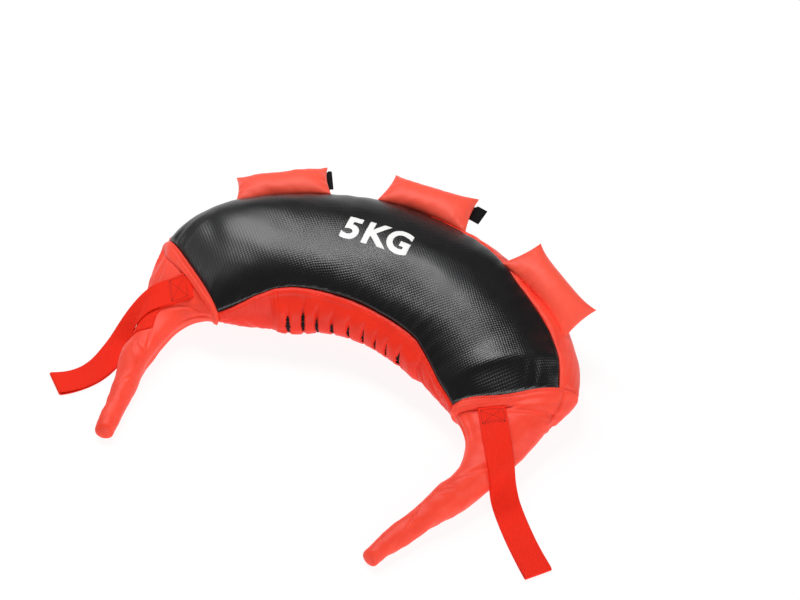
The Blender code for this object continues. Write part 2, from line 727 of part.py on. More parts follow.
def main():
    """Build the whole trainer."""
    clear_scene()
    parts = bpy.data.collections.new("crescent_sandbag_trainer")
    cutters = bpy.data.collections.new("cutters")
    for collection in (parts, cutters):
        bpy.context.scene.collection.children.link(collection)
    vinyl = material("red vinyl", (0.90, 0.045, 0.022), 0.45)
    leather = material("black embossed leathercloth", (0.012, 0.012, 0.013), 0.5)
    red_webbing = material("red webbing", (0.80, 0.022, 0.010), 0.8)
    black_webbing = material("black webbing", (0.008, 0.008, 0.008), 0.8)
    tape = material("black hook-and-loop tape", (0.010, 0.010, 0.010), 0.9)
    sand = material("sand pouch canvas", (0.45, 0.38, 0.26), 0.9)
    fibre = material("grey fibre wadding", (0.30, 0.30, 0.29), 0.95)
    gusset = make_panels(vinyl, leather, parts)
    make_mouth(gusset, cutters)
    make_closure(vinyl, tape, parts)
    make_pouches(sand, parts)
    for name in SIDES:
        make_cover(name, vinyl, fibre, parts, cutters)
        make_horn(name, vinyl, fibre, parts)
        make_strap(name, red_webbing, parts)
    for name in GRIP_ANGLES:
        make_grip(name, vinyl, fibre, black_webbing, parts, cutters)


if __name__ == "__main__":
    main()
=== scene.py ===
"""Looks of a crescent sandbag trainer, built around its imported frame.

Every length is in metres, in the frame of the solids: the origin lies under the middle of the
bag, +Z is up, +X runs to the bag's right end and the crescent opens towards -Y. A turn around a
section is 0 at the outer side, 90 on top, 180 at the inner side and 270 underneath.
"""
import logging
import math
from collections.abc import Callable
from dataclasses import dataclass, field
from enum import Enum

import bmesh
import bpy
import numpy as np
from mathutils import Euler, Matrix, Vector
from mathutils.bvhtree import BVHTree


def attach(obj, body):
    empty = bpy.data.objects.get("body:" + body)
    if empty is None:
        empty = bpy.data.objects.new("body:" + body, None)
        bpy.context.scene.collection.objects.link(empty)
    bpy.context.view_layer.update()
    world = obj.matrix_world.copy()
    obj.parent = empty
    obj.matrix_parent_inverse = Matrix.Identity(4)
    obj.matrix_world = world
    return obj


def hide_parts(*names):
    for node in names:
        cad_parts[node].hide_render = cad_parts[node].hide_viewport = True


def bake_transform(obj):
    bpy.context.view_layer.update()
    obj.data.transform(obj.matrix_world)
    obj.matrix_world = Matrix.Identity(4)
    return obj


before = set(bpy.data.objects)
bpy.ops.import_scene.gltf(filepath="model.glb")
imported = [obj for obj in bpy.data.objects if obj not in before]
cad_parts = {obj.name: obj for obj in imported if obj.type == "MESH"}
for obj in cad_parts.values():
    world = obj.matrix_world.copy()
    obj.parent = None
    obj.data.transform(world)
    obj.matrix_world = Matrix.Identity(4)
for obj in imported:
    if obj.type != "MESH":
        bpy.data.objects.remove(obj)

Array = np.ndarray
Number = float | np.ndarray
Pair = tuple[float, float]
Place = tuple[float, float, float]
Turns = Callable[[np.ndarray], np.ndarray]
Piece = bpy.types.Object
Tree = bpy.types.NodeTree
Socket = bpy.types.NodeSocket
Node = bpy.types.Node
Material = bpy.types.Material

LOG = logging.getLogger("sandbag_trainer")
UP = np.array((0.0, 0.0, 1.0))
MM = 0.001
CLOTH_MAP = "cloth_mm"
SHELL = 1.2 * MM
FLOOR_GAP = 0.1 * MM


class Named(Enum):
    """Parts that the frame tells apart by a word in their names."""

    @property
    def label(self) -> str:
        """Return the word as the frame writes it."""
        return self.name.lower()


class End(Named):
    """The two ends of the bag, with the sign of their x."""

    LEFT = -1.0
    RIGHT = 1.0


class Grip(Named):
    """The three grips, with the angle along the crescent where each is sewn."""

    LEFT = -30.0
    CENTRE = -0.5
    RIGHT = 33.5


# Small tools for shapes


def ease(value: Array, low: float, high: float) -> Array:
    """Return a smooth step from 0 at low to 1 at high, which may lie below low."""
    share = np.clip((value - low) / (high - low), 0.0, 1.0)
    return share * share * (3.0 - 2.0 * share)


def bump(value: Array, centre: float, width: float) -> Array:
    """Return a bell curve of height 1 that falls to a third at its width from the centre."""
    return np.exp(-(((value - centre) / width) ** 2))


def clear_of(distance: Array, width: float) -> Array:
    """Return 0 on a line, such as a seam, and 1 well away from it."""
    return 1.0 - bump(distance, 0.0, width)


def unit(vectors: Array) -> Array:
    """Return vectors of length 1, with their coordinates in the last axis."""
    return vectors / np.linalg.norm(vectors, axis=-1, keepdims=True)


def walk(points: Array) -> Array:
    """Return the distance walked along a line to each of its points."""
    return np.concatenate(([0.0], np.cumsum(np.linalg.norm(np.diff(points, axis=0), axis=1))))


def read_line(values: Array, walked: Array, wanted: Number) -> Array:
    """Read numbers or points, known at walked places along a line, at the wanted places."""
    if values.ndim == 1:
        return np.interp(wanted, walked, values)
    return np.stack([np.interp(wanted, walked, column) for column in values.T], axis=-1)


def ripples(places: Array, size: float, seed: int, count: int = 12) -> Array:
    """Return soft unevenness of about -1 to 1 over places in space.

    Args:
        places: Points, with their coordinates in the last axis.
        size: The length of a typical wave, in the places' unit.
        seed: Picks one of many patterns.
        count: How many waves are laid over each other.

    Returns:
        One number for each place.
    """
    random = np.random.default_rng(seed)
    total = np.zeros(places.shape[:-1])
    for _ in range(count):
        way = random.normal(size=places.shape[-1])
        way *= random.uniform(0.6, 1.6) / (np.linalg.norm(way) * size)
        total += np.sin(2.0 * math.pi * (places @ way) + random.uniform(0.0, 2.0 * math.pi))
    return total / math.sqrt(count)


@dataclass(frozen=True)
class Fold:
    """A crease in cloth, on the cloth's own map: a valley with a raised lip on both sides."""

    start: Pair
    end: Pair
    width: float
    depth: float
    lip: float = 0.45
    bow: float = 0.0

    def height(self, across: Array, along: Array) -> Array:
        """Return the crease's height over a piece of cloth.

        Args:
            across: The cloth's first coordinate.
            along: Its second coordinate.

        Returns:
            Heights in metres, below 0 in the valley.
        """
        first, last = np.array(self.start), np.array(self.end)
        span = float(np.linalg.norm(last - first))
        way = (last - first) / span
        lengthwise = (across - first[0]) * way[0] + (along - first[1]) * way[1]
        sideways = -(across - first[0]) * way[1] + (along - first[1]) * way[0]
        share = np.clip(lengthwise / span, 0.0, 1.0)
        sideways = sideways - self.bow * 4.0 * share * (1.0 - share)
        off = np.maximum(np.abs(lengthwise - span / 2) - span / 2, 0.0)
        fade = bump(off, 0.0, 2.0 * self.width) * (0.35 + 0.65 * np.sin(math.pi * share) ** 0.5)
        valley = bump(sideways, 0.0, self.width)
        lips = bump(np.abs(sideways), 2.0 * self.width, 1.3 * self.width)
        return self.depth * fade * (self.lip * lips - valley)


# The forms of the frame, for whole arrays of places

# Turns of the four long seams, and how the outer side leans in except near the bag's right end
OUTER_SEAM = 51.4
INNER_SEAM = 148.7
INNER_BASE = 215.0
OUTER_BASE = 325.0
OUTER_SLIMNESS = 0.08
OUTER_ROLL = 9.0


def rolled(turns: Array, roll: Array) -> Array:
    """Return turns moved down the outer side, by the whole roll at the outer seam.

    Args:
        turns: Degrees around the section.
        roll: Degrees by which the outer seam rolls down.

    Returns:
        The moved turns.
    """
    past_base = (turns - OUTER_BASE) % 360.0
    seam = OUTER_SEAM + 360.0 - OUTER_BASE
    over_top = np.maximum(1.0 - (past_base - seam) / (INNER_SEAM - OUTER_SEAM), 0.0)
    share = np.where(past_base < seam, past_base / seam, over_top)
    return turns - roll * share ** 2 * (3.0 - 2.0 * share)


@dataclass(frozen=True)
class Spine:
    """A row of cross-sections: where each stands, which way it faces and its size."""

    centre: Array
    outward: Array
    half_width: Array
    height: Array
    belly: Array
    flatten: Array
    lean: Array

    def skin(self, turns: Array, lift: Number = 0.0) -> Array:
        """Return the skin's points, one row for each section.

        Args:
            turns: Degrees around the section, the same for all sections or a row for each.
            lift: How far the points stand off the skin, below 0 inside it.

        Returns:
            Points, sections by turns by 3.
        """
        lean = self.lean[:, None]
        turned = np.radians(rolled(np.atleast_2d(turns), lean * OUTER_ROLL))
        slim = np.where(np.cos(turned) > 0.0, 1.0 - lean * OUTER_SLIMNESS, 1.0)
        across = (self.half_width[:, None] * slim + lift) * np.cos(turned)
        rise = np.sin(turned)
        middle = (self.height * self.belly)[:, None]
        over = self.height[:, None] - middle + lift
        under = middle * (1.0 + self.flatten[:, None]) + lift
        level = np.maximum(middle + np.where(rise > 0.0, over, under) * rise, -lift)
        return (self.centre[:, None, :] + self.outward[:, None, :] * across[..., None]
                + UP * level[..., None])

    def lengths(self) -> Array:
        """Return the distance along the sections' centres to each section."""
        return walk(self.centre)

    def core(self) -> Array:
        """Return the middle of each section at its widest height."""
        return self.centre + UP * (self.height * self.belly)[:, None]

    def between(self, first: float, last: float) -> "Spine":
        """Return a part of the spine, with as many sections as the whole.

        Args:
            first: The share of the length where the part starts.
            last: The share where it ends.

        Returns:
            The part's sections.
        """
        walked = self.lengths() / self.lengths()[-1]
        wanted = np.linspace(first, last, len(walked))
        centre, outward, *sizes = (read_line(values, walked, wanted) for values in (
            self.centre, self.outward, self.half_width, self.height, self.belly, self.flatten,
            self.lean))
        return Spine(centre, unit(outward), *sizes)


def level_way(angle: Number, side: float) -> Array:
    """Return the level direction at degrees from +X, mirrored where the side is -1."""
    turned = np.radians(np.asarray(angle, float))
    return np.stack((np.cos(turned) * side, np.sin(turned), np.zeros_like(turned)), axis=-1)


@dataclass(frozen=True)
class BagForm:
    """The crescent of the stuffed bag, as the frame has it."""

    arc_radius: float = 0.244
    end_angle: float = 56.4
    mid_half_width: float = 0.0965
    mid_height: float = 0.108
    end_half_width: float = 0.075
    end_heights: Pair = (0.073, 0.070)
    end_lifts: Pair = (0.023, 0.009)
    taper_powers: Pair = (3.2, 2.2)
    flat_angle: float = 36.0
    upright_angle: float = 45.0
    belly: float = 0.46
    flatten: float = 0.17

    def inner_radius(self) -> float:
        """Return the radius of the crescent's inner side."""
        return self.arc_radius - self.mid_half_width

    def spine(self, angles: Array) -> Spine:
        """Return the bag's sections at some angles along the crescent.

        Args:
            angles: Degrees, 0 in the middle of the bag.

        Returns:
            The sections.
        """
        angles = np.atleast_1d(np.asarray(angles, float))
        turned = np.radians(angles)
        outward = np.stack((np.sin(turned), np.cos(turned), np.zeros_like(turned)), axis=-1)
        centre = outward * self.arc_radius - np.array((0.0, self.arc_radius, 0.0))
        taper = (np.abs(angles) / self.end_angle) ** np.where(angles < 0.0, *self.taper_powers)
        half_width = self.mid_half_width + (self.end_half_width - self.mid_half_width) * taper
        end_height = np.where(angles < 0.0, *self.end_heights)
        top = self.mid_height + (end_height - self.mid_height) * taper
        past = np.maximum(np.abs(angles) - self.flat_angle, 0.0)
        past /= self.end_angle - self.flat_angle
        centre[:, 2] = np.where(angles < 0.0, *self.end_lifts) * past ** 2
        same = np.ones_like(angles)
        return Spine(centre, outward, half_width, top - centre[:, 2], self.belly * same,
                     self.flatten * same, 1.0 - ease(angles, 0.0, self.upright_angle))


@dataclass(frozen=True)
class EndForm:
    """One end of the bag: the cover that narrows to the horn, the horn and the strap's line."""

    end: End
    bag: BagForm
    inset: float
    drop: float
    heading: float
    turning: float
    outer_handles: Pair
    inner_handles: Pair
    strap_heading: float
    strap_sweep: float
    strap_sway: float
    root_radius: float = 0.0175
    tip_radius: float = 0.0130
    length: float = 0.096
    skin: float = 0.0012
    rest: float = 0.0004
    seam_gap: float = 0.0008
    flex: float = 30.0
    taper_power: float = 2.0
    slack: float = 2.6 * MM
    tip_reach: float = 0.75
    tip_bluntness: float = 5.0
    tip_width_kept: float = 0.999
    underside_rise: float = 0.55

    def root(self) -> Array:
        """Return the centre of the horn's joint, at the height where the horn lies."""
        end = self.bag.spine(self.bag.end_angle * self.end.value).centre[0]
        return np.array((end[0] - self.inset * self.end.value, end[1] - self.drop,
                         self.root_radius + self.skin + self.rest))

    def setback(self) -> float:
        """Return how far before the joint the cover ends."""
        return self.root_radius * math.sin(math.radians(self.flex)) + self.seam_gap

    def cover(self, shares: Array) -> Spine:
        """Return the cover's sections.

        Args:
            shares: 0 at the bag's end, 1 just short of the horn's joint.

        Returns:
            The sections.
        """
        side = self.end.value
        start = self.bag.spine(self.bag.end_angle * side)
        onward = level_way(-self.bag.end_angle, side)
        finish = level_way(self.heading, side)
        across_end = level_way(self.heading + 90.0, side)
        radius = self.root_radius + self.skin
        root = self.root() - finish * self.setback()
        root[2] = self.rest
        share = np.asarray(shares, float)[:, None]
        rest = 1.0 - share
        weights = (rest ** 3, 3 * rest ** 2 * share, 3 * rest * share ** 2, share ** 3)
        edges = []
        slim = 1.0 - start.lean[0] * OUTER_SLIMNESS
        outer, inner = (1.0, slim, self.outer_handles), (-1.0, 1.0, self.inner_handles)
        for way, reach, (leave, arrive) in (outer, inner):
            first = start.centre[0] + start.outward[0] * start.half_width[0] * way * reach
            last = root + across_end * radius * way
            pulls = (first, first + onward * leave, last - finish * arrive, last)
            edges.append(sum(point * weight for point, weight in zip(pulls, weights)))
        across = edges[0] - edges[1]
        across[:, 2] = 0.0
        width = np.linalg.norm(across, axis=1)
        outward = across / width[:, None]
        narrowed = (1.0 - share[:, 0]) ** self.taper_power
        lean = start.lean[0] * narrowed
        half_width = width / (2.0 - lean * OUTER_SLIMNESS)
        return Spine(edges[1] + outward * half_width[:, None], outward, half_width,
                     2 * radius + (start.height[0] - 2 * radius) * narrowed,
                     0.5 + (self.bag.belly - 0.5) * narrowed, self.bag.flatten * narrowed, lean)

    def horn(self, reaches: Array) -> Spine:
        """Return the horn's sections, from the cover's end to the blunt tip.

        Args:
            reaches: 0 at the cover's end, 1 where the tip starts to close, 2 at its point.

        Returns:
            The sections, which close round and keep their width longer than their height.
        """
        side = self.end.value
        whole = self.setback() + self.length
        fine = np.linspace(0.0, whole, 400)
        past_joint = np.clip((fine - self.setback()) / self.length, 0.0, 1.0)
        angles = self.heading + self.turning * past_joint
        steps = level_way(angles, side) * (fine[1] - fine[0])
        line = self.root() - level_way(self.heading, side) * self.setback()
        line = line + np.cumsum(steps, axis=0) - steps
        reaches = np.asarray(reaches, float)
        share = np.clip(reaches, 0.0, 1.0)
        walked = share * whole
        angle = read_line(angles, fine, walked)
        start = self.root_radius + self.skin
        radius = start + (self.tip_radius - start) * share - self.slack * ease(reaches, 0.0, 0.4)
        closing = np.radians(90.0 * np.clip(reaches - 1.0, 0.0, 1.0))
        onward = self.tip_reach * self.tip_radius * np.sin(closing)
        centre = read_line(line, fine, walked) + level_way(angle, side) * onward[:, None]
        thick = radius * np.maximum(np.cos(closing), 0.0)
        closed = self.tip_width_kept * np.sin(closing) ** self.tip_bluntness
        centre[:, 2] = self.rest + self.underside_rise * (radius - thick)
        same = np.ones_like(reaches)
        return Spine(centre, level_way(angle + 90.0, side), radius * np.sqrt(1.0 - closed),
                     2 * thick, 0.5 * same, 0.0 * same, 0.0 * same)

    def strap_way(self, share: Number) -> Number:
        """Return the strap's heading in degrees at a share of its free length."""
        swayed = self.strap_sway * np.sin(math.pi * np.asarray(share) ** 1.3)
        return self.strap_heading + self.strap_sweep * share + swayed


def around(turns: Array, centre: float, width: float) -> Array:
    """Return a bell curve over the turns around a section, which start again at 360."""
    return bump((turns - centre + 180.0) % 360.0 - 180.0, 0.0, width)


@dataclass(frozen=True)
class Swell:
    """A part of the bag where the sand fills the cloth out, or leaves it slack below 0.

    The profile along the crescent is a bump around an angle or an ease from one to another.
    """

    height: float
    profile: Callable[[Array, float, float], Array]
    angles: Pair
    turns: Pair

    def over(self, angles: Array, turns: Array) -> Array:
        """Return its height at places on the bag."""
        return self.height * self.profile(angles, *self.angles) * around(turns, *self.turns)


STUFFING = (
    Swell(6.5 * MM, bump, (-45.5, 8.0), (42.0, 36.0)),
    Swell(-9.0 * MM, bump, (-60.0, 6.5), (12.0, 48.0)),
    Swell(-4.5 * MM, ease, (-46.0, -57.0), (97.0, 32.0)),
    Swell(7.5 * MM, bump, (-28.0, 14.0), (194.0, 24.0)),
    Swell(-13.5 * MM, ease, (48.5, 57.5), (98.0, 34.0)),
    Swell(5.0 * MM, bump, (49.5, 4.6), (74.0, 44.0)),
    Swell(-6.5 * MM, ease, (43.0, 57.0), (182.0, 30.0)),
    Swell(3.0 * MM, bump, (40.0, 9.0), (8.0, 34.0)),
    Swell(-3.5 * MM, ease, (50.0, 57.0), (-12.0, 34.0)),
)


def stuffed(angles: Array, turns: Array) -> Array:
    """Return how far the sand pushes the bag's skin out, which is below 0 where it is slack."""
    return sum(swell.over(angles, turns) for swell in STUFFING)


# Turns of the two upper seams at angles along the crescent
OUTER_SEAM_LINE = (
    (-56.4, 28.0), (-51.0, 26.5), (-46.0, 26.5), (-20.0, 29.5), (-14.0, 35.0), (-5.0, 41.0),
    (5.0, 43.5), (15.0, 45.0), (23.5, 48.5), (29.0, 51.5), (35.0, 50.0), (43.0, 45.5),
    (56.4, 46.5))
INNER_SEAM_LINE = (
    (-56.4, 163.0), (-42.0, 150.5), (-34.0, 146.3), (-27.0, 146.0), (-10.0, 149.2),
    (10.0, 151.0), (24.0, 149.5), (29.0, 149.2), (37.0, 153.3), (47.0, 158.5), (56.4, 160.5))


def outer_seam(angles: Array) -> Array:
    """Return the turns of the outer seam, which slips down on the bag's left half."""
    return np.interp(angles, *zip(*OUTER_SEAM_LINE))


def outer_seam_again(angles: Array) -> Array:
    """Return the turns of the outer seam after a whole turn around the section."""
    return outer_seam(angles) + 360.0


def straight_seam(turn: float) -> Turns:
    """Return a seam that lies at the same turn all along the bag."""
    return lambda angles: np.full_like(angles, turn)


def inner_seam(angles: Array) -> Array:
    """Return the turns of the inner seam, which sinks towards both ends."""
    return np.interp(angles, *zip(*INNER_SEAM_LINE))


BAG = BagForm()
END_FORMS = {
    End.LEFT: EndForm(End.LEFT, BAG, inset=0.0, drop=0.115, heading=-95.5, turning=-8.0,
                      outer_handles=(0.030, 0.060), inner_handles=(0.003, 0.080),
                      strap_heading=-51.0, strap_sweep=13.0, strap_sway=-28.0),
    End.RIGHT: EndForm(End.RIGHT, BAG, inset=0.0142, drop=0.138, heading=-117.0, turning=9.0,
                       outer_handles=(0.004, 0.040), inner_handles=(0.004, 0.060),
                       strap_heading=-57.0, strap_sweep=18.0, strap_sway=0.0),
}


# Cloth: grids that are laid on a form


def deselect() -> None:
    """Deselect everything, so that an operator acts only on what follows."""
    for item in bpy.context.selected_objects:
        item.select_set(False)


def choose(item: Piece) -> None:
    """Make one object the only selected and the active one."""
    deselect()
    item.select_set(True)
    bpy.context.view_layer.objects.active = item


def apply_modifiers(item: Piece) -> None:
    """Apply every modifier of an object, in order."""
    choose(item)
    for name in [modifier.name for modifier in item.modifiers]:
        bpy.ops.object.modifier_apply(modifier=name)


def thicken(item: Piece, thickness: float, offset: float = -1.0) -> None:
    """Give a sheet its thickness.

    Args:
        item: The sheet.
        thickness: In metres.
        offset: -1 keeps the face in place and grows inwards, 0 grows to both sides.
    """
    shell = item.modifiers.new("thickness", "SOLIDIFY")
    shell.thickness = thickness
    shell.offset = offset
    apply_modifiers(item)


def normals_of(points: Array, outward: Array) -> Array:
    """Return a grid's unit normals, on the side of the outward directions.

    Args:
        points: Rows by columns by 3.
        outward: Directions that lie roughly outwards, of the same shape.

    Returns:
        The normals.
    """
    normal = np.cross(np.gradient(points, axis=0), np.gradient(points, axis=1))
    size = np.linalg.norm(normal, axis=-1, keepdims=True)
    normal = np.where(size > 1e-12, normal / np.maximum(size, 1e-12), outward)
    if float((normal * outward).sum()) < 0.0:
        normal = -normal
    return normal


def cloth(name: str, points: Array, chart: Array, outward: Array, weld: bool = False) -> Piece:
    """Lay a grid of cloth on its points, with its map in millimetres.

    Args:
        name: The piece's name.
        points: Rows by columns by 3.
        chart: The cloth's own flat coordinates in metres, rows by columns by 2.
        outward: Directions that lie roughly outwards, for the faces' side.
        weld: Joins rows or columns that meet, as in a tube.

    Returns:
        The mesh object.
    """
    rows, columns = points.shape[:2]
    deselect()
    bpy.ops.mesh.primitive_grid_add(x_subdivisions=columns - 1, y_subdivisions=rows - 1, size=1.0,
                                    location=(0.0, 0.0, 0.0))
    item = bpy.context.active_object
    item.name = name
    mesh = item.data
    mesh.name = name
    mesh.vertices.foreach_set("co", points.reshape(-1, 3).astype(np.float32).ravel())
    corner = np.zeros(len(mesh.loops), np.int32)
    mesh.loops.foreach_get("vertex_index", corner)
    layer = mesh.uv_layers[0]
    layer.name = CLOTH_MAP
    layer.data.foreach_set("uv", (chart.reshape(-1, 2)[corner] / MM).astype(np.float32).ravel())
    mesh.update()
    turned = np.cross(np.gradient(points, axis=1), np.gradient(points, axis=0))
    if float((turned * outward).sum()) < 0.0:
        mesh.flip_normals()
    if weld:
        choose(item)
        bpy.ops.object.mode_set(mode="EDIT")
        bpy.ops.mesh.select_all(action="SELECT")
        bpy.ops.mesh.remove_doubles(threshold=0.00002)
        bpy.ops.object.mode_set(mode="OBJECT")
    item.data.shade_smooth()
    return item


def spread(points: Array, axis: int) -> Array:
    """Return the distance walked along each row or column of a grid.

    Args:
        points: Rows by columns by 3.
        axis: 0 walks down the rows, 1 along the columns.

    Returns:
        Distances in metres, rows by columns.
    """
    steps = np.linalg.norm(np.diff(points, axis=axis), axis=-1)
    pad = [(0, 0), (0, 0)]
    pad[axis] = (1, 0)
    return np.cumsum(np.pad(steps, pad), axis=axis)


# Finishes


def linear(code: str) -> tuple[float, float, float, float]:
    """Return the linear colour of an sRGB hex code, with an alpha of 1."""
    parts = [int(code[place:place + 2], 16) / 255.0 for place in (1, 3, 5)]
    made = [part / 12.92 if part <= 0.04045 else ((part + 0.055) / 1.055) ** 2.4 for part in parts]
    return (made[0], made[1], made[2], 1.0)


def set_inputs(tree: Tree, node: Node, inputs: dict) -> None:
    """Set a node's inputs, and link those that are sockets.

    Args:
        tree: Where the node is.
        node: The node.
        inputs: Values or sockets by input name or place.
    """
    for name, value in inputs.items():
        if isinstance(value, Socket):
            tree.links.new(value, node.inputs[name])
        else:
            node.inputs[name].default_value = value


def add_node(tree: Tree, kind: str, inputs: dict, **settings: object) -> Node:
    """Add a node, with its inputs set or linked.

    Args:
        tree: Where it is added.
        kind: Blender's name of the node's type.
        inputs: Values or sockets by input name or place.
        settings: The node's own attributes.

    Returns:
        The node.
    """
    node = tree.nodes.new(kind)
    for name, value in settings.items():
        setattr(node, name, value)
    set_inputs(tree, node, inputs)
    return node


def cloth_place(tree: Tree, pitch: Pair, turn: float = 0.0) -> Socket:
    """Return the cloth's own place in units of a pattern's pitch.

    Args:
        tree: The material's nodes.
        pitch: The pattern's repeat in millimetres, along both of the map's axes.
        turn: Degrees by which the pattern is turned on the cloth.

    Returns:
        The socket to read.
    """
    chart = add_node(tree, "ShaderNodeUVMap", {}, uv_map=CLOTH_MAP)
    placed = add_node(tree, "ShaderNodeMapping", {
        "Vector": chart.outputs["UV"],
        "Rotation": (0.0, 0.0, math.radians(turn)),
        "Scale": (1.0 / pitch[0], 1.0 / pitch[1], 1.0),
    })
    return placed.outputs["Vector"]


def object_place(tree: Tree) -> Socket:
    """Return the place in the piece's own frame, in metres."""
    return add_node(tree, "ShaderNodeTexCoord", {}).outputs["Object"]


def noise(tree: Tree, place: Socket, detail: float, roughness: float = 0.5,
          scale: float = 1.0) -> Socket:
    """Return clouds of 0 to 1 that repeat nowhere, with finer layers as the detail grows."""
    made = add_node(tree, "ShaderNodeTexNoise", {
        "Vector": place, "Scale": scale, "Detail": detail, "Roughness": roughness})
    return made.outputs["Fac"]


def cells(tree: Tree, place: Socket, randomness: float, scale: float = 1.0,
          **settings: str) -> Socket:
    """Return the distance to the nearest of many points, in a square grid at randomness 0."""
    made = add_node(tree, "ShaderNodeTexVoronoi", {
        "Vector": place, "Scale": scale, "Randomness": randomness}, voronoi_dimensions="2D",
        **settings)
    return made.outputs["Distance"]


def mapped(tree: Tree, value: Socket, source: Pair, target: Pair, **settings: str) -> Socket:
    """Return a value mapped from its source range to a target range, held within it."""
    made = add_node(tree, "ShaderNodeMapRange", {
        "Value": value, "From Min": source[0], "From Max": source[1], "To Min": target[0],
        "To Max": target[1]}, **settings)
    return made.outputs["Result"]


def mixed(tree: Tree, share: Socket, first: str, second: str) -> Socket:
    """Return the mix of two hex colours, where a share of 1 is all the second."""
    made = add_node(tree, "ShaderNodeMix", {0: share, "A": linear(first), "B": linear(second)},
                    data_type="RGBA")
    return made.outputs[2]


def bumped(tree: Tree, height: Socket, strength: float, distance: float, **under: Socket) -> Socket:
    """Return the normal of a fine relief, with its depth in metres, over one given as Normal."""
    made = add_node(tree, "ShaderNodeBump", {
        "Height": height, "Strength": strength, "Distance": distance, **under})
    return made.outputs["Normal"]


@dataclass(frozen=True)
class Finish:
    """What a material is and how its surface was made."""

    name: str
    colour: str
    roughness: float

    def begin(self, shine: float = 0.5) -> tuple[Material, Tree, Node]:
        """Start the material, with the plain values set.

        Args:
            shine: How strongly the surface mirrors, where 0.5 is plain plastic.

        Returns:
            The material, its nodes and its shader.
        """
        made = bpy.data.materials.new(self.name)
        made.use_nodes = True
        tree = made.node_tree
        shader = tree.nodes["Principled BSDF"]
        set_inputs(tree, shader, {
            "Base Color": linear(self.colour), "Roughness": self.roughness,
            "Specular IOR Level": shine})
        return made, tree, shader


@dataclass(frozen=True)
class Leathercloth(Finish):
    """Coated cloth with a pattern of small raised squares pressed into it while hot.

    The roughness stays above about 0.27, as below that the pressed dots no longer show.
    """

    # Lighter colour of the raised dots, a painted glint.
    wear: str
    pitch: float = 2.8
    height: float = 0.13

    def build(self) -> Material:
        """Make even black with a regular emboss, painted dot glints and a dull sheen that varies.

        Returns:
            The material.
        """
        made, tree, shader = self.begin()
        # With no randomness the cells stand in a square grid, and each is one pressed dot.
        dots = cells(tree, cloth_place(tree, (self.pitch, self.pitch), 45.0), 0.0)
        raised = mapped(tree, dots, (0.22, 0.55), (1.0, 0.0), interpolation_type="SMOOTHSTEP")
        patches = noise(tree, cloth_place(tree, (38.0, 38.0)), 3.0, 0.55)
        sheen = mapped(tree, patches, (0.3, 0.7), (self.roughness - 0.015, self.roughness + 0.03))
        # The raised dots are mixed towards the lighter colour: a painted glint on each dot.
        glint_share = add_node(tree, "ShaderNodeMath", {0: raised, 1: 0.35}, operation="MULTIPLY")
        grain = noise(tree, cloth_place(tree, (0.9, 0.9)), 2.0)
        fine = bumped(tree, grain, 0.25, 0.05 * MM)
        set_inputs(tree, shader, {
            "Roughness": sheen,
            "Base Color": mixed(tree, glint_share.outputs[0], self.colour, self.wear),
            "Normal": bumped(tree, raised, 1.0, self.height * MM, Normal=fine)})
        return made


@dataclass(frozen=True)
class CoatedVinyl(Finish):
    """Cloth under a soft coloured coat, with the faint grain of the paper it was cast on."""

    deep: str

    def build(self) -> Material:
        """Make a satin coat, slightly uneven in tone.

        Returns:
            The material.
        """
        made, tree, shader = self.begin(0.30)
        clouds = noise(tree, cloth_place(tree, (46.0, 46.0)), 4.0, 0.6)
        share = mapped(tree, clouds, (0.35, 0.72), (0.0, 0.45))
        grain = cells(tree, cloth_place(tree, (1.1, 1.1)), 1.0, feature="SMOOTH_F1")
        set_inputs(tree, shader, {
            "Sheen Weight": 0.05, "Sheen Roughness": 0.5,
            "Base Color": mixed(tree, share, self.colour, self.deep),
            "Normal": bumped(tree, grain, 0.35, 0.06 * MM)})
        return made


@dataclass(frozen=True)
class Webbing(Finish):
    """Flat woven band: ribs run along it, and fine threads cross them."""

    dark: str
    rib: float = 1.9
    thread: float = 1.1

    def build(self) -> Material:
        """Make matt threads with small shadows between them.

        Returns:
            The material.
        """
        made, tree, shader = self.begin(0.15)
        weave = cells(tree, cloth_place(tree, (self.rib, self.thread)), 0.12,
                      distance="CHEBYCHEV")
        raised = mapped(tree, weave, (0.25, 0.5), (1.0, 0.0), interpolation_type="SMOOTHSTEP")
        set_inputs(tree, shader, {
            "Base Color": mixed(tree, raised, self.dark, self.colour),
            "Normal": bumped(tree, raised, 0.8, 0.18 * MM)})
        return made


@dataclass(frozen=True)
class PlainWeave(Finish):
    """Woven or felted stuff that lies inside, with its fibres about a pitch in mm long."""

    deep: str
    pitch: float

    def build(self) -> Material:
        """Make uneven fibres of two tones.

        Returns:
            The material.
        """
        made, tree, shader = self.begin()
        fibres = noise(tree, object_place(tree), 3.0, 0.7, 1.0 / (self.pitch * MM))
        set_inputs(tree, shader, {
            "Base Color": mixed(tree, fibres, self.deep, self.colour),
            "Normal": bumped(tree, fibres, 0.6, 0.4 * MM)})
        return made


@dataclass(frozen=True)
class Thread(Finish):
    """Twisted sewing thread."""

    twist: float = 0.5

    def build(self) -> Material:
        """Make a thin matt line with the twist as a fine bump.

        Returns:
            The material.
        """
        made, tree, shader = self.begin()
        plies = noise(tree, object_place(tree), 1.0, scale=1.0 / (self.twist * MM))
        set_inputs(tree, shader, {"Normal": bumped(tree, plies, 0.5, 0.1 * MM)})
        return made


@dataclass(frozen=True)
class Ink(Finish):
    """Screen ink printed on leathercloth, which lets the emboss show through."""

    pitch: float = 2.6

    def build(self) -> Material:
        """Make flat white with the dots of the cloth below.

        Returns:
            The material.
        """
        made, tree, shader = self.begin()
        spots = cells(tree, object_place(tree), 0.0, 1.0 / (self.pitch * MM))
        set_inputs(tree, shader, {"Normal": bumped(tree, spots, 0.4, 0.1 * MM)})
        return made


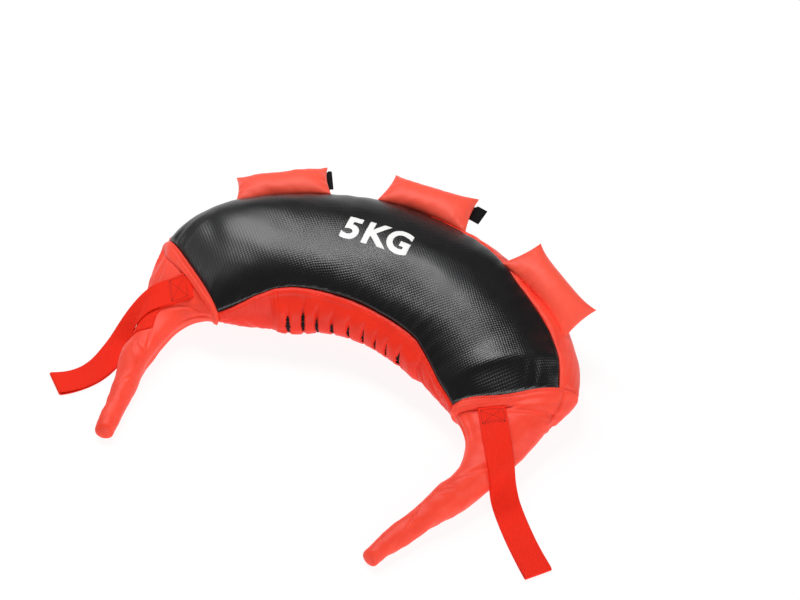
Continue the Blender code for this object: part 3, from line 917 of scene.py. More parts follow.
@dataclass(frozen=True)
class LightTable(Finish):
    """A pale floor that glows, so that hardly any shadow is left on it."""

    deep: str
    glow: float

    def build(self) -> Material:
        """Make an even tone with a white glow of its own.

        Returns:
            The material.
        """
        made, tree, shader = self.begin(0.0)
        even = noise(tree, object_place(tree), 2.0, scale=3.0)
        set_inputs(tree, shader, {
            "Emission Color": linear("#FFFFFF"), "Emission Strength": self.glow,
            "Base Color": mixed(tree, even, self.colour, self.deep)})
        return made


class Finishes:
    """The materials of the whole trainer, each made once."""

    def __init__(self) -> None:
        """Make every material."""
        self.leather = Leathercloth("black_embossed_leathercloth", "#070709", 0.295,
                                    wear="#18181B").build()
        self.vinyl = CoatedVinyl("red_coated_vinyl", "#FF4C36", 0.5, deep="#E2240F").build()
        # A darker copy of the red vinyl, painted shade for the inner side, the flap and the bottom.
        self.deep_vinyl = CoatedVinyl("deep_red_coated_vinyl", "#F52D12", 0.5,
                                      deep="#D2220C").build()
        # A lighter copy of the red vinyl, painted sheen for the grips.
        self.grip = CoatedVinyl("coral_coated_vinyl", "#FF5A44", 0.5, deep="#F64A36").build()
        self.webbing = Webbing("red_woven_webbing", "#FF2F18", 0.7, dark="#EC2612").build()
        self.black_webbing = Webbing("black_woven_webbing", "#141214", 0.8,
                                     dark="#050505").build()
        self.tape = PlainWeave("black_hook_and_loop_tape", "#141416", 0.95, deep="#050506",
                               pitch=0.9).build()
        self.canvas = PlainWeave("pouch_canvas", "#C2B48F", 0.9, deep="#8A7B58",
                                 pitch=1.4).build()
        self.fibre = PlainWeave("grey_fibre_wadding", "#B5B5B0", 0.95, deep="#7E7E7A",
                                pitch=3.0).build()
        self.thread = Thread("dark_red_thread", "#7A120C", 0.7).build()
        self.ink = Ink("white_screen_ink", "#F4F4F2", 0.5).build()
        self.floor = LightTable("pale_studio_floor", "#606060", 0.9, deep="#646464",
                                glow=0.90).build()


def dress(item: Piece, finish: Material, body: str | None = None,
          replaced: tuple[str, ...] = ()) -> Piece:
    """Give a finished piece its material, its body and what it stands for.

    Args:
        item: The piece.
        finish: Its material.
        body: The body that it rides on, or None to leave it on no body.
        replaced: The nodes that it stands for.

    Returns:
        The piece.
    """
    item.data.materials.clear()
    item.data.materials.append(finish)
    if body:
        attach(item, body)
    if replaced:
        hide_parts(*replaced)
    LOG.info("%s: %d faces", item.name, len(item.data.polygons))
    return item


# The bag's shell


@dataclass
class Sheet:
    """A piece of cloth as it lies on the form, with its own flat places.

    Across is also the distance from the first edge, where the columns start.
    """

    points: Array
    outward: Array
    along: Array
    across: Array
    last_edge: Array
    ends: Array

    def raised(self, relief: Array) -> Array:
        """Return the points moved off the form by a relief in metres."""
        return self.points + normals_of(self.points, self.outward) * relief[..., None]

    def chart(self) -> Array:
        """Return the cloth's own flat coordinates."""
        return np.stack((self.along, self.across), axis=-1)

    def sewn(self, relief: Array, depth: float, width: float) -> Array:
        """Fade a relief out at the seams all round, and draw the cloth into them."""
        edge = np.minimum(np.minimum(self.across, self.last_edge), self.ends)
        return relief * clear_of(edge, 3.0 * MM) + seam_dip(edge, depth, width)


def lay_on_bag(angles: Array, turns: Array, lift: Number = 0.0) -> Sheet:
    """Lay a grid on the stuffed bag's skin.

    Args:
        angles: Degrees along the crescent, rows by columns.
        turns: Degrees around the section, rows by columns.
        lift: How far it stands off the skin.

    Returns:
        The sheet, whose places along are measured from the middle of the bag.
    """
    flat_lift = (stuffed(angles, turns) + lift).reshape(-1, 1)
    spine = BAG.spine(angles.ravel())
    points = spine.skin(turns.reshape(-1, 1), flat_lift)[:, 0].reshape(*angles.shape, 3)
    core = spine.core().reshape(*angles.shape, 3)
    along = np.radians(angles) * BAG.arc_radius
    across = spread(points, 1)
    ends = BAG.arc_radius * np.radians(BAG.end_angle - np.abs(angles))
    return Sheet(points, points - core, along, across, across[:, -1:] - across, ends)


def between_seams(rows: int, columns: int, first_turn: Turns,
                  last_turn: Turns) -> tuple[Array, Array]:
    """Lay out a panel that runs the length of the bag between two seams.

    Args:
        rows: How many points it has along the bag.
        columns: How many it has across.
        first_turn: Gives the turns of the seam where its columns start.
        last_turn: Gives the turns of the seam where they end.

    Returns:
        The angles and the turns of its points, rows by columns.
    """
    angle = np.linspace(-BAG.end_angle, BAG.end_angle, rows)
    angles, share = np.meshgrid(angle, np.linspace(0.0, 1.0, columns), indexing="ij")
    return angles, first_turn(angles) * (1.0 - share) + last_turn(angles) * share


def seam_dip(distance: Array, depth: float = 1.7 * MM, width: float = 2.3 * MM) -> Array:
    """Return how far cloth is drawn into a seam at some distance from it, below 0."""
    return -depth * bump(distance, 0.0, width)


def seam_welt(distance: Array, height: float, place: float = 4.0 * MM) -> Array:
    """Return the ridge that the folded edges raise beside a seam."""
    return height * bump(distance, place, 0.5 * place)


def puckers(line: Array, distance: Array, size: float, depth: float, seed: int,
            reach: float = 11.0 * MM) -> Array:
    """Return the small gathers that sewing leaves along a line, and that fade with distance."""
    waves = ripples(line[..., None], size, seed, 9)
    return depth * waves * np.exp(-distance / reach) * clear_of(distance, 1.6 * MM)


@dataclass
class TopPanel:
    """The black embossed panel between the two long seams."""

    rows: int = 330
    columns: int = 84
    end_dent: float = 2.0 * MM
    swells: tuple[Swell, ...] = (
        Swell(4.2 * MM, bump, (-38.0, 13.0), (68.0, 24.0)),
        Swell(2.0 * MM, bump, (19.0, 13.0), (100.0, 26.0)),
        Swell(-1.5 * MM, bump, (-8.0, 8.0), (92.0, 25.0)))
    grid: Array = field(init=False, repr=False)

    def build(self, finishes: Finishes) -> Piece:
        """Make the panel, and keep its surface for the print.

        Args:
            finishes: The materials.

        Returns:
            The piece.
        """
        angles, turns = between_seams(self.rows, self.columns, outer_seam, inner_seam)
        sheet = lay_on_bag(angles, turns)
        crest = int(np.argmin(np.abs(turns[self.rows // 2] - 90.0)))
        radius = BAG.arc_radius + sheet.across[:, crest:crest + 1] - sheet.across
        turned = np.radians(angles)
        chart = np.stack((radius * np.sin(turned), radius * np.cos(turned)), axis=-1)
        self.grid = sheet.raised(self.relief(sheet, angles, turns))
        item = cloth("top_panel_leathercloth", self.grid, chart, sheet.outward)
        thicken(item, SHELL)
        return dress(item, finishes.leather, "bag", ("top_panel",))

    def relief(self, sheet: Sheet, angles: Array, turns: Array) -> Array:
        """Return how far the stuffed panel stands off the plain form.

        Args:
            sheet: The panel as it lies on the form.
            angles: Degrees along the crescent.
            turns: Degrees around the section.

        Returns:
            Heights in metres.
        """
        relief = 1.1 * MM * ripples(sheet.points, 0.085, 3)
        relief += 0.14 * MM * ripples(sheet.points, 0.036, 4)
        for swell in self.swells:
            relief += swell.over(angles, turns)
        relief += puckers(sheet.along, sheet.across, 0.026, 0.6 * MM, 5, 0.014)
        relief += puckers(sheet.along, sheet.last_edge, 0.028, 0.35 * MM, 6, 0.014)
        relief += puckers(sheet.across, sheet.ends, 0.018, 0.6 * MM, 7, 0.016)
        relief -= self.end_dent * bump(angles, -47.5, 2.2) * bump(sheet.across, 0.055, 0.03)
        return sheet.sewn(relief, 2.2 * MM, 1.8 * MM)

    def place(self, angle: float, across: float) -> tuple[Array, Array]:
        """Return a point of the finished panel and its normal.

        Args:
            angle: Degrees along the crescent.
            across: Metres from the panel's middle line, positive to the outer side.

        Returns:
            The point and the unit normal.
        """
        row = (angle / BAG.end_angle + 1.0) / 2 * (self.rows - 1)
        first = int(np.clip(math.floor(row), 0, self.rows - 2))
        line = self.grid[first] * (first + 1 - row) + self.grid[first + 1] * (row - first)
        walked = walk(line)
        wanted = walked[-1] / 2 - across
        column = int(np.clip(np.searchsorted(walked, wanted) - 1, 0, self.columns - 2))
        down = self.grid[first + 1, column] - self.grid[first, column]
        over = self.grid[first, column + 1] - self.grid[first, column]
        normal = unit(np.cross(over, down))
        return read_line(line, walked, wanted), normal if normal[2] > 0.0 else -normal


@dataclass
class SidePanel:
    """One of the red panels that run the length of the bag."""

    name: str
    node: str
    first_turn: Turns
    last_turn: Turns
    seed: int
    rows: int = 300
    columns: int = 56
    folds: tuple[Fold, ...] = ()
    welts: Pair = (0.9 * MM, 0.4 * MM)
    unevenness: float = 1.0
    # deep picks the darker copy of the red vinyl, which is painted shade.
    deep: bool = True

    def build(self, finishes: Finishes) -> Piece:
        """Make the panel.

        Args:
            finishes: The materials.

        Returns:
            The piece.
        """
        sheet = lay_on_bag(*between_seams(self.rows, self.columns, self.first_turn,
                                          self.last_turn))
        points = sheet.raised(self.relief(sheet))
        points[..., 2] = np.maximum(points[..., 2], FLOOR_GAP)
        item = cloth(self.name, points, sheet.chart(), sheet.outward)
        thicken(item, SHELL)
        finish = finishes.deep_vinyl if self.deep else finishes.vinyl
        return dress(item, finish, "bag", (self.node,))

    def relief(self, sheet: Sheet) -> Array:
        """Return how far the stuffed panel stands off the plain form.

        Args:
            sheet: The panel as it lies on the form.

        Returns:
            Heights in metres.
        """
        relief = 0.9 * MM * ripples(sheet.points, 0.085, self.seed)
        relief += 0.3 * MM * ripples(sheet.points, 0.03, self.seed + 1)
        relief *= self.unevenness
        relief += puckers(sheet.along, sheet.across, 0.012, 0.5 * MM, self.seed + 2)
        relief += puckers(sheet.along, sheet.last_edge, 0.015, 0.5 * MM, self.seed + 3)
        relief += puckers(sheet.across, sheet.ends, 0.013, 0.7 * MM, self.seed + 4, 0.016)
        for fold in self.folds:
            relief += fold.height(sheet.along, sheet.across)
        relief = sheet.sewn(relief, 1.7 * MM, 2.3 * MM)
        relief += seam_welt(sheet.across, self.welts[0])
        return relief + seam_welt(sheet.last_edge, self.welts[1])


GUSSET_FOLDS = (
    Fold((-0.205, 0.020), (-0.176, 0.052), 3.0 * MM, 0.9 * MM),
    Fold((0.150, 0.010), (0.205, 0.044), 3.5 * MM, 1.1 * MM),
    Fold((0.180, 0.006), (0.226, 0.022), 3.0 * MM, 0.9 * MM),
)


@dataclass(frozen=True)
class Slit:
    """A gap between two gathers of the closure flap."""

    angle: float
    low_turn: float
    high_turn: float
    width: float

    def middle(self) -> float:
        """Return the turn of its middle."""
        return (self.low_turn + self.high_turn) / 2

    def lens(self, turn: Array) -> Array:
        """Return how far open it is at some turns, from 0 at its ends to 1."""
        reach = abs(self.low_turn - self.high_turn) / 2
        return np.maximum(1.0 - ((turn - self.middle()) / reach) ** 2, 0.0) ** 0.8

    def half_gap(self, turn: Array) -> Array:
        """Return half of its ragged width at some turns, in metres."""
        torn = 0.35 * np.sin(turn * 1.9 + self.angle)
        torn = 1.0 + torn + 0.2 * np.sin(turn * 0.8 + 2.0 * self.angle)
        return self.width / 2 * self.lens(turn) * torn


@dataclass
class ClosureFlap:
    """The flap that closes the inner side, gathered along its lower edge."""

    half_angle: float = 36.0
    end_turn: float = 208.0
    below_seam: float = 1.6
    rows: int = 520
    columns: int = 72
    pushed_rows: float = 9.0
    side_seams: Pair = (3.0 * MM, 7.5 * MM)
    slits: tuple[Slit, ...] = (
        Slit(-29.2, 198.0, 174.0, 4.6 * MM), Slit(-22.2, 194.0, 167.0, 3.4 * MM),
        Slit(-16.0, 197.0, 175.0, 3.0 * MM), Slit(-9.0, 199.0, 178.0, 3.4 * MM),
        Slit(-1.2, 199.0, 177.0, 2.8 * MM), Slit(6.2, 199.0, 177.5, 3.0 * MM),
        Slit(13.0, 198.0, 177.0, 2.8 * MM), Slit(18.8, 200.0, 179.0, 3.0 * MM),
        Slit(26.2, 199.0, 173.0, 4.8 * MM))

    def build(self, finishes: Finishes) -> Piece:
        """Make the flap, with its slits open.

        Args:
            finishes: The materials.

        Returns:
            The piece.
        """
        angle = np.linspace(-self.half_angle, self.half_angle, self.rows)
        angles = np.repeat(angle[:, None], self.columns, axis=1)
        top = inner_seam(angles) + self.below_seam
        turns = top + (self.end_turn - top) * np.linspace(0.0, 1.0, self.columns)
        turn = turns[self.rows // 2]
        opened = angles.copy()
        cut = []
        for slit in self.slits:
            row = int(np.searchsorted(angle, slit.angle))
            off = np.arange(self.rows) - (row - 0.5)
            push = np.sign(off) * bump(np.abs(off), 0.5, self.pushed_rows)
            half = np.degrees(slit.half_gap(turn) / BAG.inner_radius())
            opened += push[:, None] * half[None, :]
            inside = np.nonzero(slit.lens(turn) > 0.02)[0]
            cut += [(row - 1, column) for column in inside[:-1]]
        sheet = lay_on_bag(opened, turns, self.stand_off(opened, turns))
        points = sheet.raised(self.relief(sheet, opened, turns))
        item = cloth("closure_flap_vinyl", points, sheet.chart(), sheet.outward)
        self.open_slits(item, cut)
        thicken(item, SHELL)
        # The flap takes the darker copy of the red vinyl, a painted shade.
        return dress(item, finishes.deep_vinyl, "bag", ("closure_flap",))

    def open_slits(self, item: Piece, cut: list[tuple[int, int]]) -> None:
        """Remove the faces between the two sides of each slit.

        Args:
            item: The flap before it is thickened.
            cut: Rows and columns of the grid's faces.
        """
        whole = bmesh.new()
        whole.from_mesh(item.data)
        whole.faces.ensure_lookup_table()
        gone = [whole.faces[row * (self.columns - 1) + column] for row, column in cut]
        bmesh.ops.delete(whole, geom=gone, context="FACES_ONLY")
        whole.to_mesh(item.data)
        whole.free()

    def stand_off(self, angles: Array, turns: Array) -> Array:
        """Return how far the flap stands off the bag's skin, over the two tapes.

        Args:
            angles: Degrees along the crescent.
            turns: Degrees around the section.

        Returns:
            Distances in metres.
        """
        over_tapes = ease(turns, 153.0, 172.0) * (1.0 - 0.8 * ease(turns, 197.0, 208.0))
        sewn = ease(np.abs(angles), self.half_angle, self.half_angle - 3.0)
        return 0.5 * MM + 3.9 * MM * over_tapes * sewn

    def relief(self, sheet: Sheet, angles: Array, turns: Array) -> Array:
        """Return the gathers' bulges and the valleys that end in the slits.

        Args:
            sheet: The flap as it lies on the bag.
            angles: Degrees along the crescent.
            turns: Degrees around the section.

        Returns:
            Heights in metres.
        """
        relief = 0.5 * MM * ripples(sheet.points, 0.03, 31)
        places = np.array([slit.angle for slit in self.slits])
        shown = ease(turns, 158.0, 180.0) * (1.0 - 0.8 * ease(turns, 186.0, 200.0))
        rank = np.interp(angles, places, np.arange(len(places)))
        inside = (angles > places[0]) & (angles < places[-1])
        swell = np.where(inside, np.abs(np.sin(math.pi * rank)) ** 0.6, 0.35)
        relief += 3.0 * MM * shown * swell
        for slit in self.slits:
            off = np.radians(angles - slit.angle) * BAG.inner_radius()
            rise = ease(turns, slit.high_turn - 18.0, slit.high_turn + 2.0)
            relief -= 2.0 * MM * rise * bump(off, 0.0, 2.0 * MM)
            lip = bump(np.abs(off), slit.width, 1.6 * MM)
            relief += 0.9 * MM * lip * around(turns, slit.middle(), 9.0)
        relief -= 2.4 * MM * bump(turns, 190.5, 1.2) * bump(angles, -29.3, 3.4)
        ends = np.radians(self.half_angle - np.abs(angles)) * BAG.inner_radius()
        relief *= clear_of(ends, 4.0 * MM)
        for seam in self.side_seams:
            relief -= 0.7 * MM * bump(ends, seam, 0.9 * MM) * (angles < 0.0)
        return relief + seam_welt(sheet.across, 0.9 * MM) + seam_welt(ends, 0.5 * MM, 3.0 * MM)


@dataclass
class Tape:
    """One half of the hook-and-loop closure behind the flap."""

    name: str
    node: str
    lift: float
    thickness: float = 1.0 * MM
    half_angle: float = 32.5
    turns: Pair = (172.0, 201.0)
    rows: int = 150
    columns: int = 16

    def build(self, finishes: Finishes) -> Piece:
        """Make the tape.

        Args:
            finishes: The materials.

        Returns:
            The piece.
        """
        angles, turns = np.meshgrid(np.linspace(-self.half_angle, self.half_angle, self.rows),
                                    np.linspace(*self.turns, self.columns), indexing="ij")
        uneven = 0.15 * MM * ripples(angles[..., None], 9.0, 71)
        sheet = lay_on_bag(angles, turns, self.lift + uneven)
        item = cloth(self.name, sheet.points, sheet.chart(), sheet.outward)
        thicken(item, self.thickness)
        return dress(item, finishes.tape, "bag", (self.node,))


# The ends: covers, horns and straps


def from_outer_foot(turns: Array) -> Array:
    """Return turns that run on from -35, at the foot of the outer side."""
    return (turns + 35.0) % 360.0 - 35.0


@dataclass(frozen=True)
class Hem:
    """The folded edge of a cover beside the black panel, under which the strap is sewn in."""

    first_turn: float
    last_turn: float
    width: float
    height: float
    strap_height: float = 4.0 * MM
    strap_turn: float = 110.0
    fade: float = 16.0

    def rise(self, along: Array, turns: Array) -> Array:
        """Return the hem's height over a cover.

        Args:
            along: Distances from the cover's seam.
            turns: Degrees around the section.

        Returns:
            Heights in metres, with a sharp drop at the hem's free edge.
        """
        shown = ease(turns, self.first_turn, self.first_turn + self.fade)
        shown = shown * ease(turns, self.last_turn, self.last_turn - self.fade)
        at_strap = ease(np.abs(turns - self.strap_turn), 30.0, 17.0)
        tall = self.height + (self.strap_height - self.height) * at_strap
        edge = self.width + 0.6 * MM * np.sin(turns / 9.0)
        fold = ease(along, edge + 0.7 * MM, edge - 0.7 * MM) * ease(along, 0.5 * MM, 5.0 * MM)
        return shown * (tall * fold - 1.5 * MM * bump(along, edge + 1.4 * MM, 1.0 * MM))


@dataclass(frozen=True)
class Hollow:
    """A place where a cover lies slack: how deep, and where around and along it."""

    depth: float
    turn: float
    spread: float
    place: float
    reach: float


@dataclass
class EndSleeve:
    """One end's cloth: the cover and the horn in one, from the bag's end to the closed tip."""

    form: EndForm
    seed: int
    hem: Hem
    folds: tuple[Fold, ...]
    hollows: tuple[Hollow, ...]
    band_overhang: float = 0.0
    gathers: float = 0.6 * MM
    horn_rows: int = 84
    tip_rows: int = 16
    columns: int = 190
    stuffed_reach: float = 0.042
    tip_fade: float = 0.014
    bend_reach: float = 0.012
    bare: Array = field(init=False, repr=False)

    def build(self, finishes: Finishes) -> Piece:
        """Make the sleeve, and keep its cloth without the hem.

        Args:
            finishes: The materials.

        Returns:
            The piece.
        """
        label = self.form.end.label
        shares = np.concatenate((np.linspace(0.0, 0.15, 44), np.linspace(0.15, 1.0, 74)[1:]))
        cover = self.form.cover(shares)
        horn = self.form.horn(np.concatenate((np.linspace(0.0, 1.0, self.horn_rows)[1:],
                                              np.linspace(1.0, 2.0, self.tip_rows)[1:])))
        turns = np.linspace(OUTER_SEAM, OUTER_SEAM + 360.0, self.columns)
        start = stuffed(np.full_like(turns, BAG.end_angle * self.form.end.value), turns)
        lift = start * (1.0 - ease(cover.lengths(), 0.0, self.stuffed_reach))[:, None]
        points = np.concatenate((cover.skin(turns, lift), horn.skin(turns)))
        middle = np.concatenate((cover.core(), horn.core()))
        outward = points - middle[:, None, :]
        walked = walk(middle)
        along = np.broadcast_to(walked[:, None], points.shape[:2])
        across = spread(points, 1)
        whole_turns = np.broadcast_to(turns, points.shape[:2])
        relief = self.relief(points, along, across, whole_turns)
        relief = relief * ease(walked[-1] - along, 0.0, self.tip_fade)
        hem = self.hem.rise(along, from_outer_foot(whole_turns))
        normal = normals_of(points, outward)
        normal[:, 0] = normal[:, -1] = (normal[:, 0] + normal[:, -1]) / 2
        self.bare = points + normal * relief[..., None]
        shown = points + normal * (relief + hem)[..., None]
        shown[:, -1] = shown[:, 0]
        shown[..., 2] = np.maximum(shown[..., 2], FLOOR_GAP)
        shown[-1] = shown[-1].mean(axis=0)
        item = cloth(f"{label}_end_sleeve", shown, np.stack((across, along), axis=-1), outward,
                     weld=True)
        thicken(item, SHELL)
        dress(item, finishes.vinyl, None,
              (f"{label}_end_cover", f"{label}_horn_sleeve"))
        root = self.form.root()
        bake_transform(item)
        return item

    def relief(self, points: Array, along: Array, across: Array, turns: Array) -> Array:
        """Return how far the stuffed cloth stands off the plain form.

        Args:
            points: The cloth's points on the form.
            along: Distances from the cover's seam.
            across: Distances around the section.
            turns: Degrees around the section.

        Returns:
            Heights in metres.
        """
        relief = 0.7 * MM * ripples(points, 0.055, self.seed)
        relief += 0.25 * MM * ripples(points, 0.022, self.seed + 1)
        turned = np.radians(turns)
        rim = np.stack((along / 0.010, np.sin(turned) * 1.5, np.cos(turned) * 1.5), axis=-1)
        knots = 0.24 * MM * ripples(rim, 2.2, self.seed + 2)
        knots += 0.09 * MM * ripples(rim, 0.9, self.seed + 5)
        relief += ease(along, 0.10, 0.15) * knots
        wrapped = from_outer_foot(turns)
        outer_side = ease(wrapped, 46.0, 24.0) * ease(wrapped, -35.0, -20.0)
        seam = along - self.band_overhang * outer_side
        relief += puckers(across, np.abs(seam), 0.016, self.gathers, self.seed + 3, 0.012)
        if self.band_overhang:
            relief += 0.9 * MM * outer_side * ease(seam, 0.7 * MM, -0.7 * MM)
            relief -= 1.2 * MM * outer_side ** 0.3 * bump(seam, 0.6 * MM, 0.9 * MM)
        for fold in self.folds:
            relief += fold.height(wrapped * MM, along)
        for hollow in self.hollows:
            shape = around(turns, hollow.turn, hollow.spread)
            relief -= hollow.depth * shape * bump(along, hollow.place, hollow.reach)
        relief *= ease(along, 0.0, 0.012)
        return relief + seam_dip(seam) + seam_welt(np.maximum(seam, 0.0), 0.8 * MM)


# Folds lie on a map of 1 m per 1000 degrees around the section, by metres from the cover's seam
SLEEVES = {
    End.LEFT: EndSleeve(
        END_FORMS[End.LEFT], 50, Hem(45.0, 214.0, 11.0 * MM, 2.4 * MM),
        folds=(Fold((0.150, 0.030), (0.112, 0.050), 3.5 * MM, 1.4 * MM, bow=2.0 * MM),
               Fold((0.168, 0.022), (0.150, 0.058), 4.0 * MM, 1.3 * MM),
               Fold((0.060, 0.020), (0.046, 0.060), 4.5 * MM, 1.3 * MM),
               Fold((0.090, 0.085), (0.120, 0.118), 3.5 * MM, 1.1 * MM),
               Fold((0.070, 0.112), (0.130, 0.122), 3.0 * MM, 1.2 * MM, bow=3.0 * MM),
               Fold((0.080, 0.120), (0.135, 0.130), 2.2 * MM, 0.8 * MM, bow=2.0 * MM),
               Fold((0.120, 0.150), (0.070, 0.166), 2.6 * MM, 0.5 * MM)),
        hollows=(Hollow(7.5 * MM, 30.0, 30.0, 0.012, 0.016),
                 Hollow(1.5 * MM, 5.0, 55.0, 0.035, 0.030),
                 Hollow(8.0 * MM, 200.0, 34.0, 0.080, 0.034),
                 Hollow(5.5 * MM, 180.0, 55.0, 0.124, 0.024),
                 Hollow(-4.5 * MM, 0.0, 50.0, 0.120, 0.024))),
    End.RIGHT: EndSleeve(
        END_FORMS[End.RIGHT], 60, Hem(78.0, 176.0, 11.5 * MM, 2.8 * MM),
        folds=(Fold((0.088, 0.017), (0.014, 0.021), 3.2 * MM, 2.2 * MM, lip=0.7, bow=-2.5 * MM),
               Fold((0.066, 0.036), (0.020, 0.056), 5.5 * MM, 1.0 * MM, bow=3.0 * MM),
               Fold((0.140, 0.018), (0.128, 0.062), 4.0 * MM, 1.3 * MM),
               Fold((0.160, 0.020), (0.150, 0.052), 4.0 * MM, 1.4 * MM),
               Fold((0.060, 0.088), (0.110, 0.118), 4.0 * MM, 1.2 * MM),
               Fold((0.080, 0.132), (0.130, 0.150), 2.8 * MM, 0.9 * MM, bow=2.0 * MM),
               Fold((0.120, 0.170), (0.070, 0.196), 2.4 * MM, 0.8 * MM)),
        hollows=(Hollow(5.0 * MM, -4.0, 46.0, 0.028, 0.016),
                 Hollow(2.5 * MM, -4.0, 60.0, 0.060, 0.034),
                 Hollow(8.0 * MM, 188.0, 34.0, 0.038, 0.030)),
        band_overhang=0.026, gathers=0.3 * MM),
}


def surface_of(points: Array) -> BVHTree:
    """Make a tree of a grid's faces, for finding the height of what lies under a place.

    Args:
        points: Rows by columns by 3.

    Returns:
        The tree.
    """
    rows, columns = points.shape[:2]
    first = (np.arange(rows - 1)[:, None] * columns + np.arange(columns - 1)).ravel()
    faces = np.stack((first, first + 1, first + columns + 1, first + columns), axis=-1)
    return BVHTree.FromPolygons([Vector(point) for point in points.reshape(-1, 3)], faces.tolist())


def heights_under(tree: BVHTree, points: Array) -> Array:
    """Find the highest surface above or below each point of a grid.

    Args:
        tree: The surface.
        points: Rows by columns by 3, of which only x and y count.

    Returns:
        Heights, rows by columns, which are 0 where there is only the floor.
    """
    down = Vector((0.0, 0.0, -1.0))
    found = [[tree.ray_cast(Vector((x, y, 0.2)), down)[0] for x, y, _ in row] for row in points]
    return np.array([[place.z if place else 0.0 for place in row] for row in found])


@dataclass
class Strap:
    """A doubled webbing band: sewn down on the cover, then a free loop that ends in a fold."""

    form: EndForm
    sag: float = 0.0
    sag_place: float = 0.042
    sag_reach: float = 0.025
    sag_lift: float = 0.45
    drape: float = 0.0
    slant: float = 0.0
    width: float = 0.030
    layer: float = 1.3 * MM
    slot: float = 1.2 * MM
    sewn: float = 0.030
    start: float = 0.0060
    offset: float = 0.025
    length: float = 0.163
    fall: float = 0.075
    free_start: float = 0.0024
    floor_gap: float = 0.6 * MM
    rise: float = 0.4 * MM
    steps: int = 130
    columns: int = 26
    settling_steps: int = 24
    bend_reach: float = 0.005
    box_start: float = 0.0078
    box_inset: float = 0.0030
    seam_inset: float = 0.0028
    twin_gap: float = 0.0018
    stitch_pitch: float = 0.0024
    stitch_length: float = 1.7 * MM
    stitch_lift: float = 0.05 * MM
    thread_radius: float = 0.32 * MM

    def build(self, finishes: Finishes, sleeve: EndSleeve) -> Piece:
        """Make the strap and sew it down.

        Args:
            finishes: The materials.
            sleeve: The cloth it lies on.

        Returns:
            The strap.
        """
        label = self.form.end.label
        ground = surface_of(sleeve.bare)
        middle, across, sides, walked = self.path(ground)
        along = np.gradient(middle, axis=0)
        normal = unit(np.cross(along, np.gradient(middle, axis=1)))
        normal *= np.sign(normal[..., 2].mean())
        gap = (self.layer + self.slot * ease(walked, self.sewn, self.sewn + 0.02)) / 2
        gap = gap + 1.1 * MM * bump(walked, walked[-1], 0.02)
        lift = normal * gap[:, None, None]
        ahead = unit(along[-1])
        arcs = [middle[-1] + (ahead * math.sin(turn) + normal[-1] * math.cos(turn)) * gap[-1]
                for turn in np.radians((25.0, 50.0, 75.0, 105.0, 130.0, 155.0))]
        slack = bump(walked, self.sewn + self.sag_place, self.sag_reach)
        slack = (slack * ease(walked, self.sewn, self.sewn + 0.03) * self.sag)[:, None, None]
        under = middle - lift - (across[:, None, :] + UP * self.sag_lift) * slack
        held_up = np.maximum(under[..., 2], heights_under(ground, under) + 0.8 * self.layer)
        under[..., 2] = np.where(slack[..., 0] > 0.2 * MM, held_up, under[..., 2])
        points = np.concatenate((middle + lift, np.array(arcs), under[::-1]))
        run = spread(points, 0)
        chart = np.stack((np.broadcast_to(sides[None, :], run.shape), run), axis=-1)
        core = np.concatenate((middle, np.repeat(middle[-1:], len(arcs), axis=0), middle[::-1]))
        item = cloth(f"{label}_webbing_strap", points, chart, points - core)
        thicken(item, self.layer, 0.0)
        dress(item, finishes.webbing, None,
              (f"{label}_strap_patch", f"{label}_strap_loop"))
        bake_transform(item)
        top = middle + normal * (gap + self.layer / 2 + self.stitch_lift)[:, None, None]
        self.sew(top, normal, sides, walked, finishes)
        return item

    def path(self, tree: BVHTree) -> tuple[Array, Array, Array, Array]:
        """Return the band's middle surface from the sewn end to the fold.

        Args:
            tree: The surface it lies on.

        Returns:
            Its points, its crosswise direction at each station, the places across it and the
            distance walked to each station.
        """
        side = self.form.end.value
        start = self.form.bag.spine(self.form.bag.end_angle * side)
        half = self.layer + self.slot / 2
        foot = self.sewn - self.start + self.free_start + half + self.rise
        walked = np.linspace(0.0, foot + self.length, self.steps)
        share = np.clip((walked - foot) / self.length, 0.0, 1.0)
        swung = (np.cos(2.0 * math.pi * share) - 0.15) * (1.0 - 0.55 * ease(share, 0.5, 1.0))
        heading = self.form.strap_way(share) + self.drape * swung
        steps = level_way(heading, side) * (walked[1] - walked[0])
        origin = start.centre[0] - start.outward[0] * self.offset
        origin = origin + level_way(self.form.strap_heading, side) * self.start
        line = origin + np.cumsum(steps, axis=0) - steps
        across = level_way(heading + 90.0, side)
        sides = np.linspace(self.width / 2, -self.width / 2, self.columns)
        slanted = self.slant * ease(share, 0.5, 1.0)[:, None] * level_way(heading, side)
        middle = line[:, None, :] + (across + slanted)[:, None, :] * sides[None, :, None]
        under = heights_under(tree, middle)
        rise = self.rise + self.layer + self.slot / 2 * ease(walked, self.sewn, self.sewn + 0.02)
        under[:4] = under[4]
        row = int(np.searchsorted(walked, foot))
        tilt = (under[row, 0] - under[row, -1]) / self.width
        fallen = np.clip((walked - foot) / self.fall, 0.0, 1.0)
        drop = ease(fallen, 0.0, 1.0)
        top = under[row].mean() + rise[row]
        floor = self.floor_gap + half
        level = top + (floor - top) * drop
        rocked = 1.2 * MM / self.width * ease(fallen, 0.0, 0.5) * np.sin(walked * 62.0)
        plan = level[:, None] + (tilt * (1.0 - drop) + rocked)[:, None] * sides[None, :]
        plan[:row] = -1.0
        level = np.maximum(plan, under + rise[:, None])
        for _ in range(self.settling_steps):
            smooth = level.copy()
            smooth[1:-1] = (level[:-2] + 2 * level[1:-1] + level[2:]) / 4
            smooth[:, 1:-1] = (smooth[:, :-2] + 6 * smooth[:, 1:-1] + smooth[:, 2:]) / 8
            level = np.maximum(smooth, under + rise[:, None])
        middle[..., 2] = np.maximum(level, floor)
        return middle, across, sides, walked

